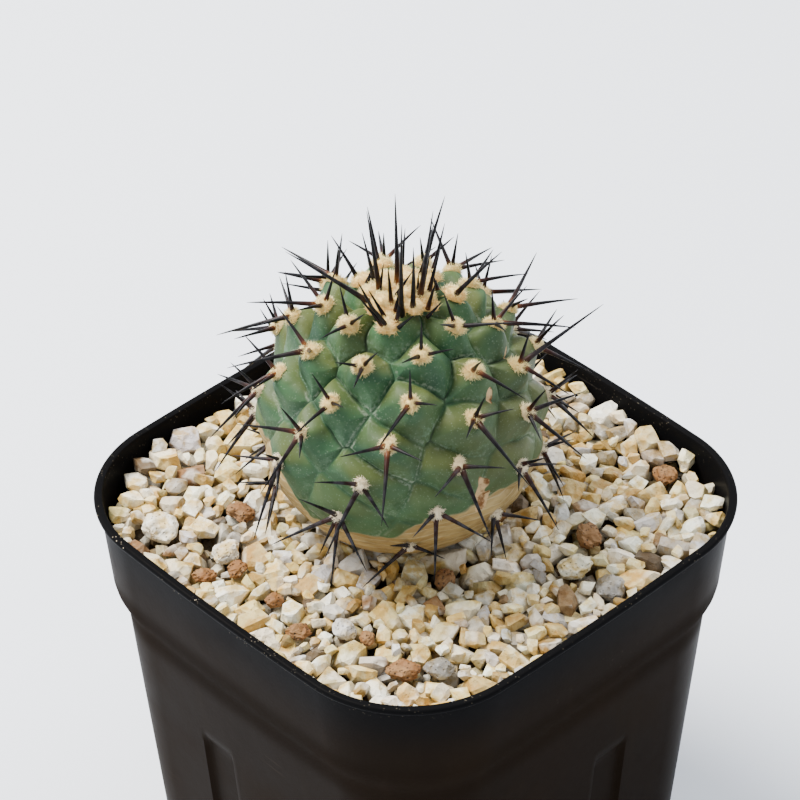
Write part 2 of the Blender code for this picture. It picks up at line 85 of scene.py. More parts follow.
class Paint:
    # a material, with one method that makes any node
    def __init__(self, name):
        self.material = bpy.data.materials.new(name)
        self.material.use_nodes = True
        self.tree = self.material.node_tree
        self.tree.nodes.clear()

    def node(self, kind, settings=None, sockets=None, output=0):
        made = self.tree.nodes.new(kind)
        for name, value in (settings or {}).items():
            setattr(made, name, value)
        for name, value in (sockets or {}).items():
            if isinstance(value, Wire):
                self.tree.links.new(value.socket, made.inputs[name])
            else:
                made.inputs[name].default_value = value
        return Wire(self, made.outputs[output]) if len(made.outputs) else None

    def mix(self, factor, first, second, blend="MIX"):
        settings = {"data_type": "RGBA", "blend_type": blend}
        sockets = {0: factor, 6: opaque(first), 7: opaque(second)}
        return self.node("ShaderNodeMix", settings, sockets, output=2)

    def place(self):
        return self.node("ShaderNodeTexCoord", output="Object")

    def attribute(self, name, output="Fac"):
        return self.node("ShaderNodeAttribute", {"attribute_name": name}, output=output)

    def attributes(self, *names):
        return [self.attribute(name) for name in names]

    def grain(self, scale, detail=3.0, roughness=0.5, at=None):
        sockets = {"Vector": at or self.place(), "Scale": scale, "Detail": detail, "Roughness": roughness}
        return self.node("ShaderNodeTexNoise", {}, sockets)

    def cells(self, scale, at=None, output="Distance"):
        sockets = {"Vector": at or self.place(), "Scale": scale}
        return self.node("ShaderNodeTexVoronoi", {}, sockets, output)

    def bump(self, height, distance, strength=1.0, under=None):
        sockets = {"Height": height, "Distance": distance, "Strength": strength}
        if under is not None:
            sockets["Normal"] = under
        return self.node("ShaderNodeBump", {}, sockets)

    def finish(self, sockets):
        # values and links of the closing shader, by the names of its sockets
        shader = self.node("ShaderNodeBsdfPrincipled", {}, sockets, output="BSDF")
        self.node("ShaderNodeOutputMaterial", {}, {"Surface": shader})
        return self.material


def newPiece(name, points, faces, material, floats=None, colors=None, sharp=None, normals=None):
    # a mesh object from arrays of points and of triangles or quads
    mesh = bpy.data.meshes.new(name)
    faces = np.asarray(faces, np.int32)
    mesh.vertices.add(len(points))
    mesh.vertices.foreach_set("co", np.asarray(points, np.float32).ravel())
    mesh.loops.add(faces.size)
    mesh.loops.foreach_set("vertex_index", faces.ravel())
    mesh.polygons.add(len(faces))
    mesh.polygons.foreach_set("loop_start", np.arange(0, faces.size, faces.shape[1], dtype=np.int32))
    mesh.update(calc_edges=True)
    mesh.validate()
    for label, values in (floats or {}).items():
        mesh.attributes.new(label, "FLOAT", "POINT").data.foreach_set("value", np.asarray(values, np.float32))
    for label, values in (colors or {}).items():
        wide = np.concatenate([values, np.ones((len(values), 1))], 1).astype(np.float32)
        mesh.attributes.new(label, "FLOAT_COLOR", "POINT").data.foreach_set("color", wide.ravel())
    mesh.shade_smooth()
    if normals is not None:
        mesh.normals_split_custom_set_from_vertices(normals)
    if sharp is not None:
        mesh.set_sharp_from_angle(angle=math.radians(sharp))
    piece = bpy.data.objects.new(name, mesh)
    bpy.context.scene.collection.objects.link(piece)
    mesh.materials.append(material)
    return piece


def settle(piece, slotName, *nodes):
    # every piece rides on the one body and stands for its CAD nodes
    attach(piece, "root")
    if nodes:
        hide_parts(*nodes)
    return piece


def clusterNodes(indices):
    return [f"spine_cluster_{index:02d}" for index in indices]


def ringFaces(rings, around):
    # quads between rings of equal length that follow each other
    low = np.arange(rings - 1)[:, None] * around
    here = np.arange(around)[None]
    nextPoint = (here + 1) % around
    quads = np.stack([low + here, low + nextPoint, low + around + nextPoint, low + around + here], -1)
    return quads.reshape(-1, 4)


def splitQuads(quads):
    return np.concatenate([quads[:, [0, 1, 2]], quads[:, [0, 2, 3]]])


def closedFaces(rings, around):
    # triangles between the rings, with a fan in the last ring and one in the first
    closing = (rings - 1) * around
    fan = [(closing, closing + i, closing + i + 1) for i in range(1, around - 1)]
    base = [(0, i + 1, i) for i in range(1, around - 1)]
    return np.concatenate([splitQuads(ringFaces(rings, around)), fan, base])


def joined(parts):
    # one mesh from several, each given as points, faces and any values of its points
    columns = list(zip(*parts))
    starts = np.cumsum([0] + [len(points) for points in columns[0]])
    faces = [triangles + start for triangles, start in zip(columns[1], starts)]
    return [np.concatenate(column) for column in [columns[0], faces] + columns[2:]]


def arraysOf(built):
    # points and faces of a finished bmesh, which is freed
    built.verts.ensure_lookup_table()
    points = np.array([vert.co[:] for vert in built.verts])
    faces = np.array([[vert.index for vert in face.verts] for face in built.faces])
    built.free()
    return points, faces


def unitRows(vectors):
    return vectors / np.linalg.norm(vectors, axis=1, keepdims=True)


def smoothShare(value, start, end):
    share = np.clip((value - start) / (end - start), 0.0, 1.0)
    return share * share * (3 - 2 * share)


def ripples(points, scale, seed, waves=10):
    # smooth deterministic unevenness between about -1 and 1
    random = np.random.default_rng(seed)
    total = np.zeros(len(points))
    for _ in range(waves):
        direction = random.normal(size=3)
        direction *= random.uniform(0.6, 1.6) / np.linalg.norm(direction)
        total += np.sin(points @ direction * scale + random.uniform(0, 2 * math.pi))
    return total / math.sqrt(waves / 2) / 2


view = {
    "aim": (-1.603 * mm, -1.715 * mm, 99.384 * mm),
    "azimuth": 46.935, "elevation": 38.546, "roll": -0.734,
    "distance": 603.45 * mm, "lens": 164.05, "sensor": 36.0, "nearest": 10 * mm,
}


def standing(azimuth, elevation):
    # direction from the object to a camera or lamp: azimuth 0 is the -Y side, 90 the +X side
    azimuth, elevation = math.radians(azimuth), math.radians(elevation)
    level = math.cos(elevation)
    return Vector((math.sin(azimuth) * level, -math.cos(azimuth) * level, math.sin(elevation)))


def makeCamera():
    azimuth, roll = math.radians(view["azimuth"]), math.radians(view["roll"])
    forward = -standing(view["azimuth"], view["elevation"])
    levelRight = Vector((math.cos(azimuth), math.sin(azimuth), 0))
    levelUp = levelRight.cross(forward)
    right = levelRight * math.cos(roll) + levelUp * math.sin(roll)
    up = levelUp * math.cos(roll) - levelRight * math.sin(roll)
    lens = bpy.data.cameras.new("camera")
    lens.lens = view["lens"]
    lens.sensor_width = view["sensor"]
    lens.clip_start = view["nearest"]
    camera = bpy.data.objects.new("camera", lens)
    turn = Matrix((right, up, -forward)).transposed().to_4x4()
    camera.matrix_world = Matrix.Translation(Vector(view["aim"]) - forward * view["distance"]) @ turn
    bpy.context.scene.collection.objects.link(camera)
    bpy.context.scene.camera = camera


light = {
    "sky": (0.88, 0.935, 1.0), "skyStrength": 1.0, "aim": (0, 0, 80 * mm),
    "key": {"azimuth": -66, "elevation": 56, "distance": 0.9, "size": 0.50, "power": 27.0,
            "color": (1.0, 0.98, 0.95)},
    "fill": {"azimuth": 170, "elevation": 42, "distance": 1.1, "size": 0.8, "power": 9.0,
             "color": (0.95, 0.97, 1.0)},
    "floor": (0.86, 0.89, 0.95), "floorRoughness": 0.9, "floorReach": 3,
}


def makeLights():
    world = bpy.data.worlds.new("softSky")
    world.use_nodes = True
    background = world.node_tree.nodes["Background"]
    background.inputs["Color"].default_value = opaque(light["sky"])
    background.inputs["Strength"].default_value = light["skyStrength"]
    bpy.context.scene.world = world
    for name in ("key", "fill"):
        setting = light[name]
        lamp = bpy.data.lights.new(name, "AREA")
        lamp.shape = "DISK"
        lamp.size = setting["size"]
        lamp.energy = setting["power"]
        lamp.color = setting["color"]
        back = standing(setting["azimuth"], setting["elevation"])
        holder = bpy.data.objects.new(name, lamp)
        holder.location = Vector(light["aim"]) + back * setting["distance"]
        holder.rotation_euler = back.to_track_quat("Z", "Y").to_euler()
        bpy.context.scene.collection.objects.link(holder)


def makeFloor():
    paint = Paint("paleFloor")
    material = paint.finish({"Base Color": opaque(light["floor"]), "Roughness": light["floorRoughness"]})
    reach = light["floorReach"]
    corners = [(-reach, -reach, 0), (reach, -reach, 0), (reach, reach, 0), (-reach, reach, 0)]
    newPiece("floor", corners, [(0, 1, 2, 3)], material)


makeCamera()
makeLights()
makeFloor()
print("camera, lights and floor ready")


pot = {
    "side": 90 * mm, "height": 80 * mm, "corner": 22.4 * mm, "wall": 0.7 * mm, "taper": 0.088,
    "bow": 0.4 * mm, "lipHeight": 1.2 * mm, "lipProud": 0.8 * mm, "band": 17 * mm, "step": 6.5 * mm,
    "stepInset": 1.65 * mm, "base": 1.5 * mm, "foot": 0.8 * mm,
    "fluteOffset": 8 * mm, "fluteWidth": 7 * mm, "fluteDepth": 0.9 * mm, "fluteTop": 38 * mm,
    "fluteRunout": 3 * mm, "fluteShoulder": 0.7 * mm, "drainHole": 7 * mm, "drainSpacing": 32 * mm,
    "sidePoints": 90, "cornerPoints": 36, "levels": 60, "footRings": 4, "drainSegments": 40, "sharpAngle": 35,
    # the lip's bead: how far it curls in, its rings, and its inner edge as depths with distances
    # from the inner face
    "lipCurl": 0.8, "lipRings": 12, "lipEdge": ((0.0, 0.35 * mm), (0.08 * mm, 0.1 * mm)),
    "innerTop": 0.35 * mm, "innerNext": 1 * mm,
}


def wallInset(z):
    # how far the outer wall stands in from the lip's outer face
    below = pot["height"] - z
    stepped = smoothShare(below, pot["band"], pot["band"] + pot["step"])
    return pot["lipProud"] + pot["taper"] * below + pot["stepInset"] * stepped


def fluteDepth(z):
    below = pot["height"] - z
    return pot["fluteDepth"] * smoothShare(below, pot["fluteTop"], pot["fluteTop"] + pot["fluteRunout"])


def potSection(z, inset, flute=0.0):
    straight = pot["side"] / 2 - pot["corner"]
    half, corner = pot["side"] / 2 - inset, pot["corner"] - inset
    along = np.linspace(-straight, straight, pot["sidePoints"])
    angles = np.linspace(0, math.pi / 2, pot["cornerPoints"] + 1)[1:-1]
    rings = []
    for side in range(4):
        middle = pot["fluteOffset"] if side % 2 == 0 else -pot["fluteOffset"]
        fromEdge = pot["fluteWidth"] / 2 - np.abs(along - middle)
        sunk = flute * smoothShare(fromEdge, -pot["fluteShoulder"] / 2, pot["fluteShoulder"] / 2)
        bow = pot["bow"] * (1 - (along / straight) ** 2)
        across = np.concatenate([half + bow - sunk, straight + corner * np.cos(angles)])
        beside = np.concatenate([along, straight + corner * np.sin(angles)])
        turn = math.pi / 2 * side
        x = across * math.cos(turn) - beside * math.sin(turn)
        y = across * math.sin(turn) + beside * math.cos(turn)
        rings.append(np.stack([x, y, np.full(len(x), z)], 1))
    return np.concatenate(rings)


def potMaterial():
    paint = Paint("potPlastic")
    place = paint.place()
    top, half = pot["height"], pot["side"] / 2
    streaks = paint.node("ShaderNodeMapping", {}, {"Vector": place, "Scale": (1, 1, 0.12)})
    cloud = paint.grain(45, detail=4)
    vertical = paint.grain(260, detail=3, at=streaks)
    slanted = paint.node("ShaderNodeMapping", {},
                         {"Vector": place, "Rotation": (0.4, 0.9, 0.5), "Scale": (0.06, 1.3, 1.0)})
    scratch = paint.grain(700, detail=2, at=slanted).above(0.66, 0.74)
    scratch = scratch * paint.grain(38, detail=1).above(0.52, 0.66)
    # dust lies on the lip, most of it on one side
    x, y, z = (paint.node("ShaderNodeSeparateXYZ", {}, {"Vector": place}, output=axis) for axis in "XYZ")
    frontLeft = (0 - y).above(half - 9 * mm, half - 3 * mm) * (1 - x.above(-4 * mm, 12 * mm))
    dusty = z.above(top - 3.5 * mm, top - 1.5 * mm) * (0.15 + frontLeft)
    dusty = (dusty + (0 - y).above(half - 0.5 * mm, half + 0.2 * mm) * 0.02).clamped()
    specks = (1 - paint.cells(1500).above(0.10, 0.20)) * paint.grain(160, detail=3).above(0.46, 0.58) * dusty
    haze = cloud.above(0.46, 0.72)
    # painted reflection: the wall's warm brown stands in for warm light reflected up from below
    color = paint.mix(haze * 0.7, (0.0080, 0.0050, 0.0030), (0.0125, 0.0080, 0.0050))
    color = paint.mix(vertical.above(0.5, 0.8) * 0.25, color, (0.014, 0.009, 0.0055))
    # the lip is the plastic's own neutral black, without the painted warm reflection of the wall
    color = paint.mix(z.above(top - 14 * mm, top - 1.5 * mm), color, (0.0042, 0.0042, 0.0046))
    color = paint.mix(scratch * 0.14, color, (0.10, 0.085, 0.070))
    color = paint.mix(specks * 0.9, color, (0.50, 0.42, 0.30))
    # the step under the band is duller
    stepped = z.above(top - 28 * mm, top - 22 * mm) * (1 - z.above(top - 19 * mm, top - 13 * mm))
    roughness = 0.38 + haze * 0.12 + vertical * 0.05 + scratch * 0.15 + stepped * 0.32
    normal = paint.bump(paint.grain(1900, detail=2), 0.04 * mm, 0.35)
    normal = paint.bump(cloud, 0.6 * mm, 0.35, under=normal)
    return paint.finish({"Base Color": color, "Roughness": roughness, "Normal": normal,
                         "Specular IOR Level": 0.10, "IOR": 1.14, "Specular Tint": (1.0, 0.85, 0.70, 1.0)})


def potSections():
    # up the outside, over the lip and down the inside
    height, lipLow, foot = pot["height"], pot["height"] - pot["lipHeight"], pot["foot"]
    edge = pot["lipHeight"] / 2
    sections = [potSection(0, wallInset(0) + foot, fluteDepth(0))]
    for turn in np.linspace(0.35, 1, pot["footRings"]) * math.pi / 2:
        z = foot * (1 - math.cos(turn))
        sections.append(potSection(z, wallInset(z) + foot * (1 - math.sin(turn)), fluteDepth(z)))
    levels = np.linspace(foot * 1.5, lipLow, pot["levels"])
    sections += [potSection(z, wallInset(z), fluteDepth(z)) for z in levels]
    for turn in np.radians(np.linspace(-80, 90, pot["lipRings"])):
        z = height - edge + edge * math.sin(turn)
        sections.append(potSection(z, edge * pot["lipCurl"] * (1 - math.cos(turn))))
    inner = pot["lipProud"] + pot["wall"]
    sections += [potSection(height - depth, inner - out) for depth, out in pot["lipEdge"]]
    levels = np.linspace(height - pot["innerNext"], pot["base"], pot["levels"])
    for z in [height - pot["innerTop"], *levels]:
        sections.append(potSection(z, wallInset(z) + pot["wall"], fluteDepth(z)))
    return sections


def drainCutter():
    holes = bmesh.new()
    away = pot["drainSpacing"] / 2
    for x in (-away, away):
        for y in (-away, away):
            place = Matrix.Translation((x, y, pot["base"] / 2))
            bmesh.ops.create_cone(holes, cap_ends=True, segments=pot["drainSegments"],
                                  radius1=pot["drainHole"] / 2, radius2=pot["drainHole"] / 2,
                                  depth=4 * pot["base"], matrix=place)
    cutMesh = bpy.data.meshes.new("drainHoles")
    holes.to_mesh(cutMesh)
    holes.free()
    cutter = bpy.data.objects.new("drainHoles", cutMesh)
    bpy.context.scene.collection.objects.link(cutter)
    return cutter


def makePot():
    sections = potSections()
    around = len(sections[0])
    points = np.concatenate(sections)
    quads = ringFaces(len(sections), around)
    first, last = len(points), len(points) + 1
    points = np.concatenate([points, [(0, 0, 0), (0, 0, pot["base"])]])
    piece = newPiece("potShell", points, quads, potMaterial())
    built = bmesh.new()
    built.from_mesh(piece.data)
    built.verts.ensure_lookup_table()
    # the underside and the floor inside, as fans that turn with the walls
    top = (len(sections) - 1) * around
    for i in range(around):
        j = (i + 1) % around
        built.faces.new((built.verts[first], built.verts[j], built.verts[i])).smooth = True
        built.faces.new((built.verts[last], built.verts[top + i], built.verts[top + j])).smooth = True
    built.to_mesh(piece.data)
    built.free()
    cutter = drainCutter()
    cut = piece.modifiers.new("drains", "BOOLEAN")
    cut.object = cutter
    cut.operation = "DIFFERENCE"
    bpy.context.view_layer.update()
    drilled = bpy.data.meshes.new_from_object(piece.evaluated_get(bpy.context.evaluated_depsgraph_get()))
    piece.modifiers.clear()
    piece.data = drilled
    drilled.shade_smooth()
    drilled.set_sharp_from_angle(angle=math.radians(pot["sharpAngle"]))
    bpy.data.objects.remove(cutter)
    settle(piece, "pot_plastic", "pot")


makePot()
print("pot ready")


globe = {
    "x": -2.1 * mm, "y": -0.9 * mm, "gravelTop": 75.5 * mm, "sink": 2.9 * mm, "radius": 24.6 * mm,
    "gap": 0.3 * mm, "start": 341.5, "divergence": 106.985, "chinDrop": 2.5,
    "colatitudes": ((0, 13.3), (6, 25.2), (20, 50.0), (35, 74.1), (50, 102.6), (57, 119.1), (68, 145.0)),
    "firstCluster": 6, "lastCluster": 57, "lastTubercle": 66,
}
pads = {
    "crown": 2.5 * mm, "top": 1.9 * mm, "low": 1.2 * mm, "height": 1.0 * mm, "crownWool": 1.4 * mm,
}
spines = {
    "radius": 0.48 * mm, "spacing": 1.1 * mm, "reliefGuard": 0.7 * mm, "crownGuard": 1.5,
    # what a spine that isn't clear tries: a share of its length, then a turn and a lift in degrees
    "cuts": (1.0, 0.85, 0.7, 0.55, 0.4), "turns": (0, 7, -7, 14, -14, 21, -21, 28, -28, 35, -35),
    "lifts": (0, 7, 14, -7, 21, 28), "tilts": (2, 80),
    "usual": ((0, 50, 6), (-100, 62, 8), (100, 60, 8), (180, 60, 12)), "variation": (30, 12, 3),
}
# clock, tilt and length in mm of each spine of the areoles that differ from the usual
chosenSpines = {
    6: ((-50, 70, 6), (160, 60, 7), (60, 60, 5)),
    7: ((160, 50, 10), (-80, 60, 7), (-10, 50, 6)),
    8: ((170, 55, 8), (-150, 60, 7), (0, 50, 6)),
    10: ((0, 35, 6), (-120, 50, 7), (110, 50, 6)),
    11: ((140, 60, 8), (-150, 60, 9), (0, 50, 6)),
    13: ((-120, 40, 5), (160, 50, 7), (60, 50, 5)),
    16: ((-80, 70, 9), (-160, 60, 13), (80, 60, 5)),
    17: ((-70, 25, 6), (160, 70, 9)),
    20: ((0, 60, 6), (-140, 60, 11), (100, 55, 5)),
    21: ((110, 50, 12), (180, 50, 12), (-60, 60, 6)),
    23: ((-30, 50, 6), (-170, 50, 8), (80, 60, 5)),
    24: ((100, 60, 18), (-170, 60, 9), (0, 50, 7)),
    26: ((-80, 60, 8), (110, 50, 7), (180, 60, 10)),
    27: ((10, 50, 5), (90, 60, 6), (170, 60, 14), (-100, 50, 7)),
    30: ((-100, 70, 8), (100, 60, 7), (180, 60, 13)),
    31: ((-170, 60, 11), (-30, 50, 9), (100, 60, 9)),
    33: ((-100, 60, 10), (-10, 50, 7), (-170, 75, 12), (100, 50, 7)),
    34: ((-10, 50, 7), (100, 60, 10), (-120, 60, 6), (170, 60, 12)),
    37: ((-100, 60, 8), (90, 60, 7), (170, 70, 13)),
    40: ((-70, 60, 8), (-160, 60, 13), (130, 70, 8)),
    47: ((-80, 50, 7), (-170, 60, 11), (110, 60, 10)),
    50: ((-30, 70, 9), (-120, 70, 13), (-160, 70, 8), (120, 60, 10), (170, 50, 11)),
    54: ((-100, 50, 7), (100, 60, 8), (175, 60, 9)),
    57: ((-30, 80, 7), (-130, 70, 11), (80, 70, 6)),
}
# root azimuth, root colatitude, lean azimuth, lean and length in mm
crownSpines = (
    (318, 16, 320, 12, 21.5), (150, 3, 170, 2, 16.5), (12, 10, 10, 7, 17.5), (100, 12, 75, 20, 14),
    (240, 7, 236, 8, 15.5), (198, 10, 216, 14, 9), (342, 13, 310, 10, 13.5), (30, 12, 25, 10, 9.5),
    (0, 16, 0, 14, 6.5), (292, 10, 314, 7, 7.5), (257, 13, 238, 50, 17.5), (284, 16, 262, 26, 8),
    (304, 20, 257, 33, 8.5), (46, 20, 38, 42, 11.5), (158, 22, 160, 30, 9), (195, 18, 200, 38, 8),
    (88, 16, 110, 35, 8),
)
youngSpines = (
    (299, 17, 215, 31, 5.6), (301, 21, 229, 36, 6.9), (210, 14, 84, 38, 5.4), (248, 9, 102, 25, 4.6),
    (292, 7, 52, 37, 5.7), (47, 15, 196, 34, 3.3), (307, 14, 91, 22, 4.3), (311, 19, 103, 25, 5.9),
    (312, 21, 41, 52, 3.9), (348, 18, 40, 43, 3.7), (15, 8, 139, 22, 3), (4, 10, 109, 30, 7),
)
bank = {"height": 2.2 * mm, "width": 13 * mm}
globeCentre = Vector((globe["x"], globe["y"], globe["gravelTop"] + globe["radius"] - globe["sink"]))
centrePoint = np.array(globeCentre)
padSeat = globe["radius"] + globe["gap"]
clusterIndices = range(globe["firstCluster"], globe["lastCluster"] + 1)
crownAngle = globe["colatitudes"][1][1] - math.degrees((pads["top"] + globe["gap"]) / globe["radius"])


def bankHeight(x, y):
    # the gravel is banked up against the walls of the back corner
    half = pot["side"] / 2 - wallInset(globe["gravelTop"])
    nearWall = smoothShare(np.maximum(np.abs(x), np.abs(y)), half - bank["width"], half)
    return bank["height"] * nearWall * smoothShare(y - x, 0.0, 0.7 * half)


def globeDirection(azimuth, colatitude):
    azimuth, colatitude = math.radians(azimuth), math.radians(colatitude)
    across = math.sin(colatitude)
    return Vector((across * math.cos(azimuth), across * math.sin(azimuth), math.cos(colatitude)))


def areoleAngles(index):
    steps, colatitudes = zip(*globe["colatitudes"])
    return globe["start"] + globe["divergence"] * index, float(np.interp(index, steps, colatitudes))


def areoleFrame(index):
    # columns are the areole's right, crownward and outward directions
    outward = globeDirection(*areoleAngles(index))
    crownward = (Vector((0, 0, 1)) - outward * outward.z).normalized()
    return Matrix((crownward.cross(outward), crownward, outward)).transposed()


def padRadius(index):
    if index < globe["firstCluster"]:
        return pads["crown"]
    return float(np.interp(index, (globe["firstCluster"], globe["lastCluster"]), (pads["top"], pads["low"])))


def spinesOf(index):
    if index in chosenSpines:
        return chosenSpines[index]
    turned, tilted, longer = spines["variation"]
    found = []
    for place, (clock, tilt, length) in enumerate(spines["usual"]):
        first = ((index * 37 + place * 71) % 100) / 100 - 0.5
        second = ((index * 53 + place * 29) % 100) / 100 - 0.5
        found.append((clock + turned * first, tilt + tilted * second, length - longer * first))
    return found


def segmentGaps(root, tip, roots, tips):
    along, others, between = tip - root, tips - roots, root - roots
    a, e = along @ along, (others * others).sum(1)
    b, c, f = others @ along, between @ along, (others * between).sum(1)
    s = np.clip((b * f - c * e) / np.maximum(a * e - b * b, 1e-16), 0, 1)
    t = np.clip((b * s + f) / e, 0, 1)
    s = np.clip((b * t - c) / a, 0, 1)
    return np.linalg.norm(between + s[:, None] * along - t[:, None] * others, axis=1)


def isClear(root, tip, index, placed):
    root, tip = np.array(root), np.array(tip)
    ground = globe["gravelTop"] + bankHeight(tip[0], tip[1]) + spines["reliefGuard"]
    if tip[2] < ground + 2 * spines["radius"]:
        return False
    others = [(r, t) for owner, r, t in placed if owner != index]
    if others:
        roots, tips = (np.array(ends) for ends in zip(*others))
        if segmentGaps(root, tip, roots, tips).min() < spines["spacing"]:
            return False
    young = globe["firstCluster"]
    along = tip - root
    for other in range(1, globe["lastCluster"] + 1):
        if other == index or (index < young and other < young):
            continue
        pad = np.array(globeCentre + globeDirection(*areoleAngles(other)) * (padSeat + pads["height"] / 2))
        share = np.clip((pad - root) @ along / (along @ along), 0, 1)
        near = padRadius(other) + spines["radius"] + globe["gap"]
        if np.linalg.norm(root + share * along - pad) < near:
            return False
    if index < young:
        return True
    for share in np.linspace(0, 1, 9):
        point = root + share * along - centrePoint
        reach = np.linalg.norm(point)
        nearCrown = math.degrees(math.acos(point[2] / reach)) < crownAngle + spines["crownGuard"]
        if nearCrown and reach < padSeat + pads["crownWool"] + spines["radius"] + 2 * globe["gap"]:
            return False
    return True


def placeSpine(index, root, frameOf, clock, tilt, length, placed):
    # turned, lifted or shortened until it is clear, as the CAD solids are
    least, most = spines["tilts"]
    for cut in spines["cuts"]:
        for turn in spines["turns"]:
            for lift in spines["lifts"]:
                turned, tilted = math.radians(clock + turn), math.radians(max(least, min(most, tilt - lift)))
                across = math.sin(tilted)
                local = Vector((across * math.sin(turned), across * math.cos(turned), math.cos(tilted)))
                tip = root + frameOf @ local * (length * cut)
                if isClear(root, tip, index, placed):
                    placed.append((index, np.array(root), np.array(tip)))
                    return
    placed.append((index, np.array(root), np.array(tip)))


def planCrown(rows, placed):
    for azimuth, colatitude, leanAzimuth, lean, length in rows:
        root = globeCentre + globeDirection(azimuth, colatitude) * (padSeat + pads["crownWool"] / 2)
        placeSpine(0, root, Matrix.Identity(3), 90 - leanAzimuth, lean, length * mm, placed)


def planSpines():
    placed = []
    planCrown(crownSpines, placed)
    for index in clusterIndices:
        frameOf = areoleFrame(index)
        root = globeCentre + frameOf.col[2] * (padSeat + pads["height"] / 2)
        for clock, tilt, length in spinesOf(index):
            placeSpine(index, root, frameOf, clock, tilt, length * mm, placed)
    planCrown(youngSpines, placed)
    return placed


spinePlan = planSpines()
print("spines planned:", len(spinePlan))


skin = {
    "around": 680, "down": 330, "lowest": 150.0, "neckRadius": 7 * mm, "neckDepth": 9 * mm, "bands": 3,
    # colatitude and height in mm of the tubercles
    "domeHeights": ((0, 1.6), (22, 3.0), (45, 3.3), (70, 2.6), (90, 1.7), (108, 0.8), (122, 0.3),
                    (150, 0.15)),
    "roofSteepness": 2.7, "chinSteepness": 1.15, "warp": 0.046,
    "grooveDepth": 0.26 * mm, "grooveWidth": 0.24 * mm, "unevenness": 0.11 * mm, "usualCell": 3.9 * mm,
    # azimuth and colatitude of the upper edge of the corky base
    "corkEdge": ((0, 99.0), (12, 101.0), (60, 104.0), (120, 98.0), (180, 104.0), (228, 92.0),
                 (240, 92.5), (250, 95.0), (258, 99.0), (264, 104.5), (270, 110.0), (276, 112.6),
                 (310, 112.8), (320, 107.0), (326, 100.5), (345, 101.5), (360, 99.0)),
    "corkBlend": 2.6, "terraceDepth": 0.09 * mm, "corkDepth": 0.15 * mm, "scarDepth": 0.16 * mm,
    "neckRings": 9, "seed": 11,
    # azimuth, colatitude, width and height in degrees of the brown scars
    "scars": ((351, 99.0, 4.0, 9.5), (7, 57.6, 1.8, 5.0), (36, 52.0, 1.4, 3.0), (200, 84.0, 2.4, 5.0),
              (120, 70.0, 2.0, 3.0)),
}


def tubercleTops():
    # highest points of the tubercles and the directions from them to the crown
    tops = []
    for index in range(1, globe["lastTubercle"] + 1):
        azimuth, colatitude = areoleAngles(index)
        tops.append(globeDirection(azimuth, colatitude + globe["chinDrop"]))
    tops = np.array(tops)
    return tops, unitRows(np.array((0, 0, 1.0)) - tops * tops[:, 2:])


def warped(directions):
    # wanders a little, so that the creases curve
    seed = skin["seed"]
    shift = np.stack([ripples(directions, 7.0, seed + 20 + axis) for axis in range(3)], 1)
    shift += 0.4 * np.stack([ripples(directions, 19.0, seed + 30 + axis) for axis in range(3)], 1)
    return unitRows(directions + skin["warp"] * shift)


def tubercleShape(directions):
    # the nearest two tubercles, as values of each point: the distance to the crease between them,
    # the cell's own half width, the share of it, and how far the point is above the top
    tops, crownward = tubercleTops()
    moved = warped(directions)
    cosines = np.clip(moved @ tops.T, -1, 1)
    order = np.argpartition(-cosines, 2, axis=1)[:, :3]
    angles = np.sort(np.arccos(np.take_along_axis(cosines, order, 1)), axis=1)
    nearest, second = angles[:, 0] * globe["radius"], angles[:, 1] * globe["radius"]
    own = cosines.argmax(1)
    cell = (nearest + second) / 2
    share = np.clip(nearest / np.maximum(cell, 1e-6), 0, 1)
    upper = np.clip((moved * crownward[own]).sum(1) * globe["radius"] / np.maximum(cell, 1e-6), -1, 1)
    return (second - nearest) / 2, cell, share, upper


def scarShape(azimuth, colatitude, ragged):
    scar = np.zeros(len(azimuth))
    for turn, down, wide, high in skin["scars"]:
        acrossScar = (azimuth - turn + 180) % 360 - 180
        acrossScar = acrossScar * np.sin(np.radians(colatitude)) / wide
        away = np.hypot(acrossScar, (colatitude - down) / high)
        scar = np.maximum(scar, 1 - smoothShare(away + ragged, 0.45, 0.85))
    return scar


def skinShape(directions):
    # distance from the centre, and the values that the material reads
    seed = skin["seed"]
    fromEdge, cell, share, upper = tubercleShape(directions)
    colatitude = np.degrees(np.arccos(np.clip(directions[:, 2], -1, 1)))
    azimuth = np.degrees(np.arctan2(directions[:, 1], directions[:, 0])) % 360
    dome = np.interp(colatitude, *zip(*skin["domeHeights"])) * mm
    dome *= np.clip(cell / skin["usualCell"], 0.25, 1.15)
    roof = smoothShare(upper, -0.15, 0.75)
    soft = share * share / (share + 0.22) * 1.22
    drop = roof * share ** skin["roofSteepness"] + (1 - roof) * soft ** skin["chinSteepness"]
    presence = smoothShare(ripples(directions, 13.0, seed + 5), -0.25, 0.65)
    presence *= 0.25 + 0.75 * smoothShare(-colatitude, -112, -60)
    narrow = np.exp(-(fromEdge / skin["grooveWidth"]) ** 1.5)
    uneven = ripples(directions, 9.0, seed) + 0.6 * ripples(directions, 24.0, seed + 1)
    radius = globe["radius"] - dome * drop - skin["grooveDepth"] * narrow * presence
    radius += skin["unevenness"] * uneven
    wander = ripples(directions, 15.0, seed + 2) * 1.5 + ripples(directions, 40.0, seed + 3) * 1.1
    below = colatitude + wander - np.interp(azimuth, *zip(*skin["corkEdge"]))
    cork = smoothShare(below, 0, skin["corkBlend"])
    terraces = np.sin(below * 1.55) * 0.5 + np.sin(below * 3.7 + wander) * 0.3
    radius += cork * (terraces * skin["terraceDepth"] - skin["corkDepth"])
    scar = scarShape(azimuth, colatitude, ripples(directions, 55.0, seed + 4) * 0.45)
    radius -= scar * skin["scarDepth"]
    values = {"crease": narrow * presence, "share": share, "fromEdge": fromEdge / mm, "upper": upper,
              "cork": cork, "below": below / 40, "scar": scar, "down": colatitude / 180}
    return radius, values


